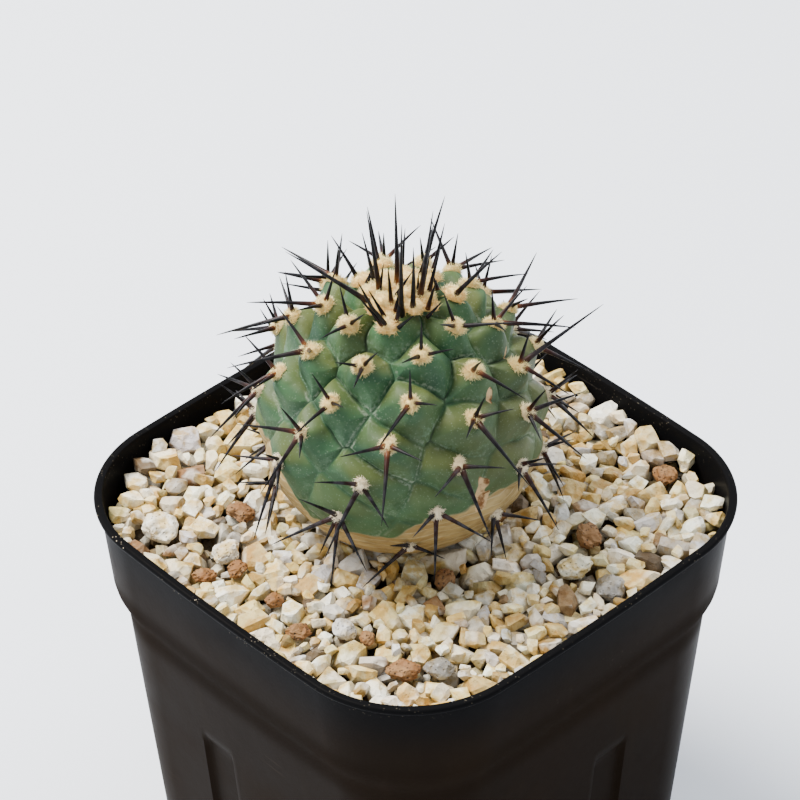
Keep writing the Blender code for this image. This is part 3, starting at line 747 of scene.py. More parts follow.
def onSkin(directions, height):
    # points this far out from the skin
    radius, _ = skinShape(directions)
    return centrePoint + directions * (radius + height)[:, None]


def skinMaterial():
    paint = Paint("waxySkin")
    crease, share, edge, upper = paint.attributes("crease", "share", "fromEdge", "upper")
    cork, below, scar, down = paint.attributes("cork", "below", "scar", "down")
    cloud = paint.grain(130, detail=4, roughness=0.55)
    patch = paint.grain(55, detail=3)
    fine = paint.grain(1500, detail=4, roughness=0.65)
    dots = 1 - paint.cells(2300).above(0.18, 0.36)
    high = 1 - down.above(0.14, 0.40)
    green = paint.mix(cloud.above(0.35, 0.68), (0.016, 0.058, 0.023), (0.040, 0.102, 0.038))
    # the roof of each tubercle is olive, more so near the crown, and partly a painted highlight where light
    # from above falls on it
    roof = upper.above(0.0, 0.55) * share.above(0.10, 0.45) * (1 - share.above(0.92, 1.0))
    oliveAndHighlight = roof * (0.45 + patch.above(0.38, 0.60) * 0.55) * (0.75 + high * 0.25)
    green = paint.mix(oliveAndHighlight * 0.85, green, (0.096, 0.108, 0.021))
    green = paint.mix(patch.above(0.50, 0.66) * 0.45, green, (0.068, 0.080, 0.020))
    # painted shade: the side away from the key light is painted browner
    awayFromKeyLight = paint.node("ShaderNodeVectorMath", {"operation": "DOT_PRODUCT"},
                        {0: paint.place(), 1: (32.0, 26.0, -6.0)}, output="Value")
    green = paint.mix((awayFromKeyLight + cloud * 0.5).above(-0.25, 0.75) * 0.58, green, (0.088, 0.072, 0.020))
    # paler and waxier down the sides
    green = paint.mix(down.above(0.42, 0.60) * cloud.above(0.30, 0.62) * 0.55, green, (0.060, 0.130, 0.055))
    # whitish bloom on the chins and beside the creases
    chin = (1 - upper.above(-0.55, 0.05)) * share.above(0.45, 0.95) * (1 - cork)
    speckle = fine.above(0.38, 0.60)
    green = paint.mix(chin * speckle * cloud.above(0.32, 0.6) * 0.55, green, (0.110, 0.180, 0.110))
    green = paint.mix(dots * fine.above(0.44, 0.58) * 0.22, green, (0.28, 0.36, 0.24))
    beside = edge.above(0.04, 0.29) * (1 - edge.above(0.39, 0.64))
    scurf = beside * paint.grain(190, detail=4).above(0.46, 0.62) * (1 - upper.above(0.15, 0.6) * 0.6)
    green = paint.mix(scurf * speckle * 0.60, green, (0.30, 0.34, 0.25))
    # painted shade: the creases between the tubercles are painted near-black
    green = paint.mix(crease.above(0.30, 0.95) * 0.75, green, (0.010, 0.018, 0.006))
    # corky base with level growth lines
    banded = paint.node("ShaderNodeMapping", {}, {"Vector": paint.place(), "Scale": (0.30, 0.30, 1.0)})
    bands = paint.grain(620, detail=4, roughness=0.6, at=banded)
    tan = paint.mix(bands.above(0.34, 0.66), (0.300, 0.195, 0.068), (0.440, 0.315, 0.130))
    tan = paint.mix(cloud.above(0.46, 0.70) * 0.60, tan, (0.210, 0.140, 0.042))
    tan = paint.mix(below.above(0.50, 0.95) * 0.4, tan, (0.130, 0.066, 0.022))
    lines = paint.node("ShaderNodeTexWave", {"wave_type": "BANDS", "bands_direction": "Z"},
                       {"Vector": paint.place(), "Scale": 210.0, "Distortion": 5.0, "Detail": 3.0,
                        "Detail Scale": 0.6}, output="Fac")
    tan = paint.mix(lines.above(0.88, 0.98) * 0.32, tan, (0.62, 0.52, 0.31))
    rim = cork.above(0.02, 0.35) * (1 - cork.above(0.55, 0.98))
    color = paint.mix(cork.above(0.25, 0.75), green, tan)
    color = paint.mix(rim * 0.40, color, (0.34, 0.30, 0.17))
    bark = paint.mix(paint.grain(600, detail=4).above(0.38, 0.54), (0.16, 0.055, 0.012), (0.60, 0.40, 0.20))
    color = paint.mix(scar.above(0.15, 0.55) * 0.92, color, bark)
    roughness = 0.52 + cloud * 0.14 + scar * 0.2
    normal = paint.bump(fine, 0.00007, 0.55)
    normal = paint.bump(paint.grain(420, detail=3), 0.00016, 0.5, under=normal)
    normal = paint.bump(bands * cork.above(0.3, 0.8), 0.00012, 0.35, under=normal)
    normal = paint.bump(lines * cork.above(0.3, 0.8), 0.00008, 0.5, under=normal)
    return paint.finish({"Base Color": color, "Roughness": roughness, "Normal": normal,
                         "Specular IOR Level": 0.30})


def makeGlobe():
    around = skin["around"]
    colatitudes = np.radians(np.linspace(0.1, skin["lowest"], skin["down"]))
    azimuths = np.linspace(0, 2 * math.pi, around, endpoint=False)
    down, turn = np.meshgrid(colatitudes, azimuths, indexing="ij")
    directions = np.stack([np.sin(down) * np.cos(turn), np.sin(down) * np.sin(turn), np.cos(down)], -1)
    directions = directions.reshape(-1, 3)
    radius, values = skinShape(directions)
    points = directions * radius[:, None]
    # the neck goes on down into the gravel from the lowest ring
    ring = points[-around:]
    width = np.linalg.norm(ring[:, :2], axis=1)[:, None]
    necks = []
    for share in np.linspace(0.12, 1, skin["neckRings"]):
        wanted = width + (skin["neckRadius"] - width) * (1 - (1 - share) ** 2)
        deep = ring[:, 2:] - skin["neckDepth"] * share
        necks.append(np.concatenate([ring[:, :2] / width * wanted, deep], 1))
    points = np.concatenate([points] + necks) + centrePoint
    for label in values:
        values[label] = np.concatenate([values[label], np.tile(values[label][-around:], len(necks))])
    rings = skin["down"] + len(necks)
    # normals from the whole surface, so that no line shows between the bands
    grid = points.reshape(rings, around, 3)
    alongRing = np.roll(grid, -1, 1) - np.roll(grid, 1, 1)
    alongDown = np.gradient(grid, axis=0)
    normals = unitRows(np.cross(alongDown, alongRing).reshape(-1, 3))
    material = skinMaterial()
    cuts = np.linspace(0, rings - 1, skin["bands"] + 1).astype(int)
    for number, (first, last) in enumerate(zip(cuts, cuts[1:])):
        part = slice(first * around, (last + 1) * around)
        bandPoints, bandNormals = points[part], normals[part]
        triangles = splitQuads(ringFaces(last - first + 1, around)[:, ::-1])
        bandValues = {label: value[part] for label, value in values.items()}
        if number == 0 or last == rings - 1:
            # a fan closes the crown and the neck's end
            rim = np.arange(around) if number == 0 else np.arange(around) + (last - first) * around
            middle = np.full(around, len(bandPoints))
            after = np.roll(rim, -1)
            fan = (middle, rim, after) if number == 0 else (middle, after, rim)
            triangles = np.concatenate([triangles, np.stack(fan, 1)])
            bandPoints = np.concatenate([bandPoints, [bandPoints[rim].mean(0)]])
            bandNormals = np.concatenate([bandNormals, [(0, 0, 1 if number == 0 else -1)]])
            bandValues = {label: np.append(value, value[rim[0]]) for label, value in bandValues.items()}
        piece = newPiece(f"globeSkin{number + 1}", bandPoints, triangles, material,
                         floats=bandValues, normals=bandNormals)
        settle(piece, "cactus_skin", "cactus_body")


makeGlobe()
print("globe ready")


spineLook = {
    "sides": 10, "rings": 12, "root": 0.50 * mm, "swell": 1.20, "swellReach": 0.9 * mm,
    "tip": 0.025 * mm, "bend": 0.020, "sunk": 0.75 * mm, "apart": 0.40 * mm, "seed": 5,
}


def spineMaterial():
    paint = Paint("spineHorn")
    along, age, tint = paint.attributes("along", "age", "tint")
    grain = paint.grain(900, detail=3)
    color = paint.mix(grain.above(0.4, 0.7), (0.0018, 0.0018, 0.0024), (0.0050, 0.0048, 0.0056))
    # the root is the color of rust, and on young spines almost orange
    rust = (1 - along.above(0.04, 0.48)) * tint
    color = paint.mix(rust * 0.8, color, (0.050, 0.011, 0.004))
    color = paint.mix((1 - along.above(0.02, 0.17)) * tint * (1 - age) * 0.8, color, (0.30, 0.105, 0.028))
    color = paint.mix(age * grain.above(0.38, 0.62) * 0.55, color, (0.042, 0.040, 0.046))
    roughness = 0.26 + grain * 0.14 + age * 0.14
    normal = paint.bump(grain, 0.05 * mm, 0.6)
    return paint.finish({"Base Color": color, "Roughness": roughness, "Normal": normal,
                         "Specular IOR Level": 0.13})


def spineTube(root, tip, random):
    axis = tip - root
    length = np.linalg.norm(axis)
    axis /= length
    side = np.cross(axis, (0.3, 0.5, 0.81))
    side /= np.linalg.norm(side)
    other = np.cross(axis, side)
    upward = np.array((0, 0, 1.0)) - axis[2] * axis
    bend = (upward * random.uniform(0.2, 1.0) + side * random.uniform(-0.6, 0.6)) * spineLook["bend"] * length
    thick = spineLook["root"] * np.clip(0.58 + 0.030 * length / mm, 0.60, 1.0)
    shares = np.linspace(0, 1, spineLook["rings"]) ** 0.85
    around = np.linspace(0, 2 * math.pi, spineLook["sides"], endpoint=False)
    circle = np.cos(around)[:, None] * side + np.sin(around)[:, None] * other
    points = []
    for share in shares:
        radius = spineLook["tip"] + (thick - spineLook["tip"]) * (1 - share) ** 0.80
        radius *= 1 + (spineLook["swell"] - 1) * math.exp(-(share * length / spineLook["swellReach"]) ** 2)
        centre = root + axis * length * share + bend * (share - share ** 2) * 4
        points.append(centre + circle * radius)
    return np.concatenate(points + [[tip]]), np.append(np.repeat(shares, spineLook["sides"]), 1.0)


def makeSpines():
    random = np.random.default_rng(spineLook["seed"])
    material = spineMaterial()
    groups = {"crownSpines": [], "sideSpines": []}
    for index, root, tip in spinePlan:
        # the visible root is down in the wool, a little to the spine's own side
        outward = (root - centrePoint) / np.linalg.norm(root - centrePoint)
        sideways = tip - root - outward * ((tip - root) @ outward)
        sideways *= spineLook["apart"] / max(np.linalg.norm(sideways), 1e-6)
        root = root - outward * spineLook["sunk"] + sideways
        groups["crownSpines" if index == 0 else "sideSpines"].append((index, root, tip))
    sides, rings = spineLook["sides"], spineLook["rings"]
    here = np.arange(sides)
    after = (here + 1) % sides
    top = (rings - 1) * sides
    tube = np.concatenate([splitQuads(ringFaces(rings, sides)),
                           np.stack([top + here, top + after, np.full(sides, rings * sides)], 1),
                           np.stack([after[1:-1], here[1:-1], np.zeros(sides - 2, int)], 1)])
    for name, members in groups.items():
        parts = []
        for index, root, tip in members:
            points, shares = spineTube(root, tip, random)
            older = smoothShare(index, 25, 50) * 0.8 + random.uniform(0, 0.35)
            age = older if index else random.uniform(0, 0.5)
            tint = random.uniform(0.15, 1.0) if index else random.uniform(0, 0.5)
            parts.append((points, tube, shares, np.full(len(points), age), np.full(len(points), tint)))
        points, faces, along, age, tint = joined(parts)
        piece = newPiece(name, points, faces, material, floats={"along": along, "age": age, "tint": tint})
        nodes = ["crown"] if name == "crownSpines" else clusterNodes(clusterIndices)
        settle(piece, "spines", *nodes)


makeSpines()
print("spines ready")


wool = {
    "fibres": 900, "fibreRadius": 0.034 * mm, "fibreRoot": 0.05 * mm, "fuzz": (0.30, 0.70),
    "fringe": (0.50, 1.05), "fringeShare": 0.42, "moundHeight": (1.25 * mm, 0.85 * mm),
    "moundShare": 0.74, "pieces": 3, "seed": 21,
    # the crown: tufts of areoles too young to be free, and the felt between them
    "crownTuft": {"radius": pads["crown"] * 0.92, "lift": 1.15 * mm, "level": -0.15 * mm, "fibres": 620},
    "youngTufts": 11, "youngTuft": {"radius": 1.75 * mm, "lift": 1.0 * mm, "fibres": 420}, "youngAngle": 12.4,
    "capAngle": 14.0, "capLevel": 0.20 * mm, "capFibres": 5200, "capLengths": (0.5, 1.2), "crownDepth": 0.72,
}


def woolMaterial():
    paint = Paint("cottonyWool")
    tone, lit = paint.attributes("tone", "lit")
    grain = paint.grain(1400, detail=3)
    clump = paint.grain(480, detail=3)
    color = paint.mix(lit, (0.80, 0.52, 0.16), (1.0, 0.88, 0.43))
    color = paint.mix(clump.above(0.52, 0.72) * (1 - lit * 0.5) * 0.7, color, (0.72, 0.42, 0.12))
    color = paint.mix(tone * 0.70, color, (0.92, 0.85, 0.72))
    color = paint.mix(grain.above(0.58, 0.74) * tone * 0.55, color, (0.22, 0.10, 0.035))
    return paint.finish({"Base Color": color, "Roughness": 0.9, "Normal": paint.bump(grain, 0.1 * mm, 0.5),
                         "Sheen Weight": 0.2, "Specular IOR Level": 0.15})


def fibreMesh(roots, directions, lengths, radius, random):
    # thin three-sided hairs with a bend in the middle
    count = len(roots)
    side = unitRows(np.cross(directions, random.normal(size=(count, 3))))
    other = np.cross(directions, side)
    bend = side * random.normal(0, 0.16, (count, 1)) + other * random.normal(0, 0.16, (count, 1))
    bend *= lengths[:, None]
    points = np.empty((count, 7, 3))
    for corner in range(3):
        angle = 2 * math.pi * corner / 3
        spread = (math.cos(angle) * side + math.sin(angle) * other) * radius
        points[:, corner] = roots + spread
        points[:, 3 + corner] = roots + directions * lengths[:, None] * 0.55 + bend * 0.6 + spread * 0.8
    points[:, 6] = roots + directions * lengths[:, None] + bend * 1.6
    one = [(a, (a + 1) % 3, 3 + (a + 1) % 3) for a in range(3)]
    one += [(a, 3 + (a + 1) % 3, 3 + a) for a in range(3)]
    one += [(3 + a, 3 + (a + 1) % 3, 6) for a in range(3)]
    faces = (np.array(one)[None] + np.arange(count)[:, None, None] * 7).reshape(-1, 3)
    lit = np.tile([0.30] * 3 + [0.75] * 3 + [1.0], count)
    return points.reshape(-1, 3), faces, lit


def discMesh(place, height, rings, around):
    # a closed cushion: place maps a share and an angle to a point, height lifts it
    angles = np.linspace(0, 2 * math.pi, around, endpoint=False)
    shares = np.linspace(1.0, 0.05, rings)
    share, angle = (grid.ravel() for grid in np.meshgrid(shares, angles, indexing="ij"))
    points = place(share, angle, height(share, angle))
    return points, closedFaces(rings, around), 0.15 + 0.45 * (1 - share)


def tuft(frameOf, radius, lift, level, count, phase, random):
    # one areole's wool: a cushion, fuzz all over it and a fringe that spreads over the skin
    def place(share, angle, height):
        edge = 1 + 0.06 * np.sin(angle * 3 + phase) + 0.05 * np.sin(angle * 5 + 2 * phase)
        x, y = radius * share * edge * np.cos(angle), radius * share * edge * np.sin(angle) * 1.05
        away = unitRows((frameOf @ np.stack([x, y, np.full(len(x), globe["radius"])])).T)
        if level is None:
            return onSkin(away, height)
        return centrePoint + away * (globe["radius"] + level + height)[:, None]

    def cushion(share, angle):
        ruffled = 0.07 * np.sin(angle * 4 + 9 * share + phase) + 0.05 * np.sin(angle * 7 - 5 * share)
        return lift * (1 - share ** 2.4 + ruffled * share) - 0.12 * mm * share ** 4

    size = wool["moundShare"]
    mound = discMesh(lambda share, angle, height: place(share * size, angle, height), cushion, 8, 26)
    fringed = random.uniform(0, 1, count) < wool["fringeShare"]
    share = np.where(fringed, random.uniform(0.62, 1.0, count), np.sqrt(random.uniform(0, 1, count)))
    angle = random.uniform(0, 2 * math.pi, count)
    roots = place(share * size, angle, cushion(share, angle) - wool["fibreRoot"])
    # how far each fibre leans outwards, in radians
    fringeLean = 0.95 + random.normal(0, 0.22, count)
    flat = np.where(fringed, fringeLean, share * 1.15 + random.normal(0, 0.30, count))
    turn = angle + random.normal(0, 0.35, count)
    local = np.stack([np.sin(flat) * np.cos(turn), np.sin(flat) * np.sin(turn), np.cos(flat)], 1)
    low, high = (np.where(fringed, wool["fringe"][end], wool["fuzz"][end]) for end in (0, 1))
    lengths = (low + (high - low) * random.uniform(0, 1, count)) * mm * (radius / pads["top"]) ** 0.5
    fibres = fibreMesh(roots, local @ frameOf.T, lengths, wool["fibreRadius"], random)
    return [mound, fibres]


def makeWool():
    random = np.random.default_rng(wool["seed"])
    material = woolMaterial()
    ends = (globe["firstCluster"], globe["lastCluster"])
    for number in range(wool["pieces"]):
        members = clusterIndices[number::wool["pieces"]]
        parts, tones = [], []
        for index in members:
            radius = padRadius(index) * 1.02
            lift = float(np.interp(index, ends, wool["moundHeight"]))
            count = int(wool["fibres"] * (radius / pads["top"]) ** 1.6)
            made = tuft(np.array(areoleFrame(index)), radius, lift, None, count, index, random)
            parts += made
            tones += [np.full(len(part[0]), smoothShare(index, 22, 46)) for part in made]
        points, faces, lit = joined(parts)
        piece = newPiece(f"areoleWool{number + 1}", points, faces, material,
                         floats={"lit": lit, "tone": np.concatenate(tones)})
        settle(piece, "areole_wool", *clusterNodes(members))
    makeCrownWool(material, random)


def makeCrownWool(material, random):
    parts = []
    old, young = wool["crownTuft"], wool["youngTuft"]
    for index in range(1, globe["firstCluster"]):
        frameOf = np.array(areoleFrame(index))
        parts += tuft(frameOf, old["radius"], old["lift"], old["level"], old["fibres"], index, random)
    for index in range(wool["youngTufts"]):
        # the spiral goes on inwards over the crown
        azimuth = globe["start"] - globe["divergence"] * index
        colatitude = wool["youngAngle"] * math.sqrt(1 - index / wool["youngTufts"])
        outward = globeDirection(azimuth, colatitude)
        crownward = (Vector((0.01, 0, 1)) - outward * outward.z).normalized()
        frameOf = np.array(Matrix((crownward.cross(outward), crownward, outward)).transposed())
        level = 0.05 * mm + 0.25 * mm * math.sin(index * 2.3)
        parts += tuft(frameOf, young["radius"], young["lift"], level, young["fibres"], 3 * index, random)

    def place(share, angle, height):
        edge = 1 + 0.16 * np.sin(angle * 4 + 1) + 0.10 * np.sin(angle * 7)
        down = np.radians(wool["capAngle"] * share * edge)
        away = np.stack([np.sin(down) * np.cos(angle), np.sin(down) * np.sin(angle), np.cos(down)], 1)
        uneven = ripples(away, 38.0, wool["seed"]) * 0.35 * mm
        return centrePoint + away * (globe["radius"] + height + uneven)[:, None]

    def cap(share, _):
        return wool["capLevel"] * (1 - 2.6 * share ** 4)

    parts.append(discMesh(place, cap, 18, 70))
    count = wool["capFibres"]
    share, angle = np.sqrt(random.uniform(0, 1, count)), random.uniform(0, 2 * math.pi, count)
    roots = place(share, angle, cap(share, angle) - wool["fibreRoot"])
    lean = unitRows((roots - centrePoint) / globe["radius"] + random.normal(0, 0.5, (count, 3)))
    lengths = random.uniform(*wool["capLengths"], count) * mm
    parts.append(fibreMesh(roots, lean, lengths, wool["fibreRadius"] * 1.1, random))
    points, faces, lit = joined(parts)
    # the felt sinks into ochre shade between the tufts
    height = np.linalg.norm(points - centrePoint, axis=1) - globe["radius"]
    lit = lit * (wool["crownDepth"] + (1 - wool["crownDepth"]) * smoothShare(height, 0.2 * mm, 1.6 * mm))
    lit -= 0.35 * (1 - smoothShare(height, -0.2 * mm, 0.9 * mm))
    values = {"lit": lit, "tone": np.zeros(len(lit))}
    piece = newPiece("crownWool", points, faces, material, floats=values)
    settle(piece, "areole_wool", "crown")


makeWool()
print("wool ready")


gravel = {
    "bedDepth": 7.0 * mm, "cell": 0.3 * mm, "proud": 0.9 * mm, "candidates": 16, "patience": 90,
    "most": 3600, "settle": 0.86, "shell": 3.2 * mm, "sectors": 6, "seed": 77,
    "shadeFrom": 0.6 * mm, "shadeTo": 3.6 * mm, "stoneFlatness": 0.66, "sharpAngle": 32,
    # worn shapes for the grains that show and plain ones for those below, each cut by planes
    "shapes": 36, "cuts": (8, 15), "planes": (0.72, 0.98), "bevel": 0.105, "plainShapes": 8, "plainCuts": 9,
    # half width and half height as shares of the half length, the tilt in radians, the swell
    "widths": (0.50, 0.90), "heights": (0.48, 0.80), "tilt": 0.24, "swell": 1.04,
    # how near a grain may come to the wall and to a stone, as shares of its half length
    "wallReach": 0.92, "stoneReach": 0.72, "globeOverlap": 0.9 * mm,
    # share of grains, then smallest and largest half length in mm
    "sizes": ((0.09, 0.9, 1.3), (0.32, 1.4, 2.1), (0.37, 2.1, 2.7), (0.22, 2.6, 3.4)),
    # share of grains, color, how far it varies, gloss
    "colors": (
        (0.28, (0.72, 0.61, 0.33), 0.14, 0.4), (0.19, (0.90, 0.85, 0.67), 0.07, 0.5),
        (0.20, (0.62, 0.48, 0.20), 0.16, 0.4), (0.09, (0.46, 0.33, 0.12), 0.18, 0.2),
        (0.13, (0.42, 0.38, 0.31), 0.14, 0.8), (0.08, (0.52, 0.50, 0.49), 0.12, 0.9),
        (0.03, (0.24, 0.14, 0.06), 0.12, 0.0), (0.02, (0.12, 0.085, 0.05), 0.12, 0.0),
    ),
}
# larger stones: x, y, half length and half width in mm, height above the gravel in mm, kind, CAD node
bigStones = (
    (27.7, -29.0, 2.9, 2.4, 1.8, "brown", "brown_stone_front"),
    (25.4, 15.8, 3.3, 2.4, 1.8, "brown", "brown_stone_right"),
    (-26.8, -34.0, 3.8, 3.3, 2.2, "white", "white_stone_left"),
    (30.9, -24.0, 2.8, 2.4, 1.2, "quartz", None), (36.6, 9.8, 3.0, 2.6, 1.1, "quartz", None),
    (8.9, -34.7, 2.3, 1.9, 1.1, "brown", None), (-20.5, -21.4, 2.5, 2.1, 1.2, "brown", None),
    (-9.8, -31.8, 2.0, 1.7, 1.0, "brown", None), (-12.6, -36.5, 2.2, 1.7, 0.8, "brown", None),
    (0.3, -32.6, 1.9, 1.6, 0.9, "brown", None), (17.8, -27.9, 1.8, 1.3, 0.9, "brown", None),
    (22.8, 37.6, 2.6, 2.2, 1.0, "brown", None), (-14.5, -30.1, 3.0, 2.5, 1.4, "white", None),
    (13.4, -28.9, 2.4, 2.0, 1.1, "silver", None), (28.9, 9.1, 3.3, 2.5, 1.5, "yellow", None),
    (15.9, -8.5, 2.6, 1.9, 0.9, "brown", None),
)
stoneColors = {
    "brown": ((0.250, 0.125, 0.042), 0.0), "white": ((0.88, 0.84, 0.72), 0.1),
    "quartz": ((0.21, 0.195, 0.172), 0.9), "silver": ((0.58, 0.56, 0.54), 0.6),
    "yellow": ((0.80, 0.75, 0.56), 0.3),
}


def grainShape(random, cuts, bevel):
    # a crushed grain: a box cut by random planes, its edges worn
    built = bmesh.new()
    bmesh.ops.create_cube(built, size=2.0)
    for _ in range(cuts):
        normal = Vector(random.normal(size=3)).normalized()
        geometry = built.verts[:] + built.edges[:] + built.faces[:]
        bmesh.ops.bisect_plane(built, geom=geometry, plane_co=normal * random.uniform(*gravel["planes"]),
                               plane_no=normal, clear_outer=True)
        rim = [edge for edge in built.edges if edge.is_boundary]
        if rim:
            bmesh.ops.contextual_create(built, geom=rim)
    bmesh.ops.remove_doubles(built, verts=built.verts[:], dist=0.05)
    bmesh.ops.dissolve_degenerate(built, edges=built.edges[:], dist=0.02)
    if bevel:
        bmesh.ops.bevel(built, geom=built.edges[:], offset=bevel, segments=2, profile=0.6, affect="EDGES",
                        clamp_overlap=True)
    bmesh.ops.triangulate(built, faces=built.faces[:])
    bmesh.ops.recalc_face_normals(built, faces=built.faces[:])
    points, faces = arraysOf(built)
    low, high = points.min(0), points.max(0)
    return (points - (low + high) / 2) / ((high - low) / 2), faces


def rotation(yaw, pitch=0.0, roll=0.0):
    turn = Matrix.Rotation(yaw, 3, "Z") @ Matrix.Rotation(pitch, 3, "X")
    return np.array(turn @ Matrix.Rotation(roll, 3, "Y"))


def insideWall(x, y, z, reach):
    # whether a grain of this reach keeps clear of the pot's inner wall
    straight = pot["side"] / 2 - pot["corner"]
    inset = wallInset(z) + pot["wall"] + reach
    across, beside = abs(x), abs(y)
    if across <= straight or beside <= straight:
        return max(across, beside) < pot["side"] / 2 - inset
    return math.hypot(across - straight, beside - straight) < pot["corner"] - inset


def surfaceLevel(x, y):
    return globe["gravelTop"] + bankHeight(x, y)


def stoneObstacles():
    # where each larger stone stands, its reach and its underside
    found = []
    for x, y, a, b, proud, _, _ in bigStones:
        under = globe["gravelTop"] + (proud - gravel["stoneFlatness"] * 2 * b) * mm
        found.append((x * mm, y * mm, max(a, b) * mm, under))
    return found


def dropGrains(random):
    # each grain drops into the lowest of a few places, on the grains already there
    half = pot["side"] / 2
    count = int(2 * half / gravel["cell"])
    height = np.full((count, count), globe["gravelTop"] - gravel["bedDepth"])
    obstacles = stoneObstacles()
    shares = np.array([row[0] for row in gravel["sizes"]])
    placed, misses = [], 0
    while misses < gravel["patience"] and len(placed) < gravel["most"]:
        _, small, large = gravel["sizes"][random.choice(len(shares), p=shares / shares.sum())]
        a = random.uniform(small, large) * mm
        b, c = a * random.uniform(*gravel["widths"]), a * random.uniform(*gravel["heights"])
        yaw = random.uniform(0, math.pi)
        reach = int(a / gravel["cell"]) + 1
        local = np.arange(-reach, reach + 1) * gravel["cell"]
        gx, gy = np.meshgrid(local, local, indexing="ij")
        along = gx * math.cos(yaw) + gy * math.sin(yaw)
        beside = gy * math.cos(yaw) - gx * math.sin(yaw)
        squared = (along / a) ** 2 + (beside / b) ** 2
        inside = squared < 0.94
        bulge = c * np.sqrt(np.clip(1 - squared, 0, 1))
        best = None
        for _ in range(gravel["candidates"]):
            i, j = random.integers(reach, count - reach, 2)
            x, y = -half + (i + 0.5) * gravel["cell"], -half + (j + 0.5) * gravel["cell"]
            window = height[i - reach:i + reach + 1, j - reach:j + reach + 1]
            z = (window + bulge * gravel["settle"])[inside].max()
            if best is not None and z >= best[0]:
                continue
            top = globe["gravelTop"] + gravel["proud"] + float(bankHeight(x, y))
            if z + c > top or not insideWall(x, y, z, a * gravel["wallReach"]):
                continue
            fromGlobe = np.linalg.norm(np.array((x, y, z)) - centrePoint)
            if fromGlobe < globe["radius"] - gravel["globeOverlap"] + c:
                continue
            near = a * gravel["stoneReach"]
            if any(math.hypot(x - stoneX, y - stoneY) < size + near and z + c > under
                   for stoneX, stoneY, size, under in obstacles):
                continue
            best = (z, i, j, x, y)
        if best is None:
            misses += 1
            continue
        misses = 0
        z, i, j, x, y = best
        window = height[i - reach:i + reach + 1, j - reach:j + reach + 1]
        window[inside] = np.maximum(window[inside], z + bulge[inside])
        placed.append((x, y, z, a, b, c, yaw))
    return placed


def grainColor(random):
    shares = np.array([row[0] for row in gravel["colors"]])
    _, color, spread, gloss = gravel["colors"][random.choice(len(shares), p=shares / shares.sum())]
    tone = np.array(color) * (1 + random.normal(0, spread)) * (1 + random.normal(0, 0.02, 3))
    return np.clip(tone, 0.02, 0.92), gloss * random.uniform(0.5, 1.0)


def gravelMaterial():
    paint = Paint("mineralGrain")
    own = paint.attribute("grainColor", output="Color")
    gloss, porous, low = paint.attributes("gloss", "porous", "low")
    # each grain's pattern starts elsewhere
    place = paint.node("ShaderNodeVectorMath", {"operation": "MULTIPLY_ADD"},
                       {0: own, 1: (3, 5, 4), 2: paint.place()})
    mottle = paint.grain(330, detail=5, roughness=0.62, at=place)
    patch = paint.grain(150, detail=3, at=place)
    fine = paint.grain(2600, detail=4, roughness=0.65, at=place)
    pits = 1 - paint.cells(1500, at=place).above(0.10, 0.32)
    golden = paint.mix(1.0, own, (0.80, 0.62, 0.32), blend="MULTIPLY")
    pale = paint.mix(0.60, own, (0.97, 0.95, 0.88))
    color = paint.mix(mottle.above(0.40, 0.58), golden, own)
    color = paint.mix(patch.above(0.50, 0.60) * (1 - porous) * 0.80, color, pale)
    # broken faces catch more or less light
    chips = paint.cells(620, at=place, output="Color")
    facet = paint.node("ShaderNodeSeparateColor", {}, {"Color": chips}, output="Red")
    darker = paint.mix(1.0, color, (0.66, 0.60, 0.46), blend="MULTIPLY")
    color = paint.mix(facet.above(0.35, 0.75) * 0.30, color, darker)
    color = paint.mix(fine.above(0.56, 0.74) * 0.28, color, (0.30, 0.20, 0.09))
    color = paint.mix(pits * porous * 0.75, color, (0.07, 0.035, 0.014))
    # grit and shade deeper down
    color = paint.mix(low * 0.88, color, (0.085, 0.055, 0.024))
    roughness = 0.70 - gloss * 0.42 + mottle * 0.10
    normal = paint.bump(fine, 0.00010, 0.5)
    normal = paint.bump(mottle, 0.0005, 0.6, under=normal)
    normal = paint.bump(paint.cells(620, at=place), 0.0006, 0.8, under=normal)
    normal = paint.bump(pits * porous, -0.0004, 1.0, under=normal)
    return paint.finish({"Base Color": color, "Roughness": roughness, "Normal": normal})


def stoneMesh(random, a, b, c, bumps):
    # a worn stone, finer than the grains
    built = bmesh.new()
    bmesh.ops.create_icosphere(built, subdivisions=5, radius=1.0)
    points, faces = arraysOf(built)
    for _ in range(9):
        normal = random.normal(size=3)
        normal /= np.linalg.norm(normal)
        past = points @ normal - random.uniform(0.70, 0.93)
        points -= np.clip(past, 0, None)[:, None] * normal * 0.85
    seed = int(random.integers(1000))
    knobs = 1 + bumps * (0.08 * ripples(points, 4.0, seed) + 0.045 * ripples(points, 11.0, seed + 1))
    knobs += bumps * 0.02 * ripples(points, 30.0, seed + 2)
    points *= knobs[:, None]
    return points / np.abs(points).max(0) * np.array((a, b, c)), faces


def sectorOf(x, y):
    return int((math.atan2(y, x) / (2 * math.pi) % 1.0) * gravel["sectors"])


def looseGrain(random, place, shapes):
    x, y, z, a, b, c, yaw = place
    shape, faces = shapes[int(random.integers(len(shapes)))]
    size = np.array((a, b, c)) * gravel["swell"]
    turn = rotation(yaw, random.normal(0, gravel["tilt"]), random.normal(0, gravel["tilt"]))
    points = (shape * size) @ turn.T + np.array((x, y, z))
    color, gloss = grainColor(random)
    return points, faces, color, gloss, 0.15


def largerStone(random, row):
    x, y, a, b, proud, kind, node = row
    color, gloss = stoneColors[kind]
    c = gravel["stoneFlatness"] * b
    bumps, porous = (1.7, 1.0) if kind == "brown" else (1.2, 0.5)
    points, faces = stoneMesh(random, a * mm, b * mm, c * mm, bumps)
    # a stone that is also a CAD node keeps close to that node's own turn
    turn = rotation(random.uniform(-0.5, 0.5) if node else random.uniform(0, math.pi))
    height = globe["gravelTop"] + (proud - c) * mm
    points = points @ turn.T + np.array((x * mm, y * mm, height))
    return points, faces, np.array(color) * random.uniform(0.9, 1.05), gloss, porous


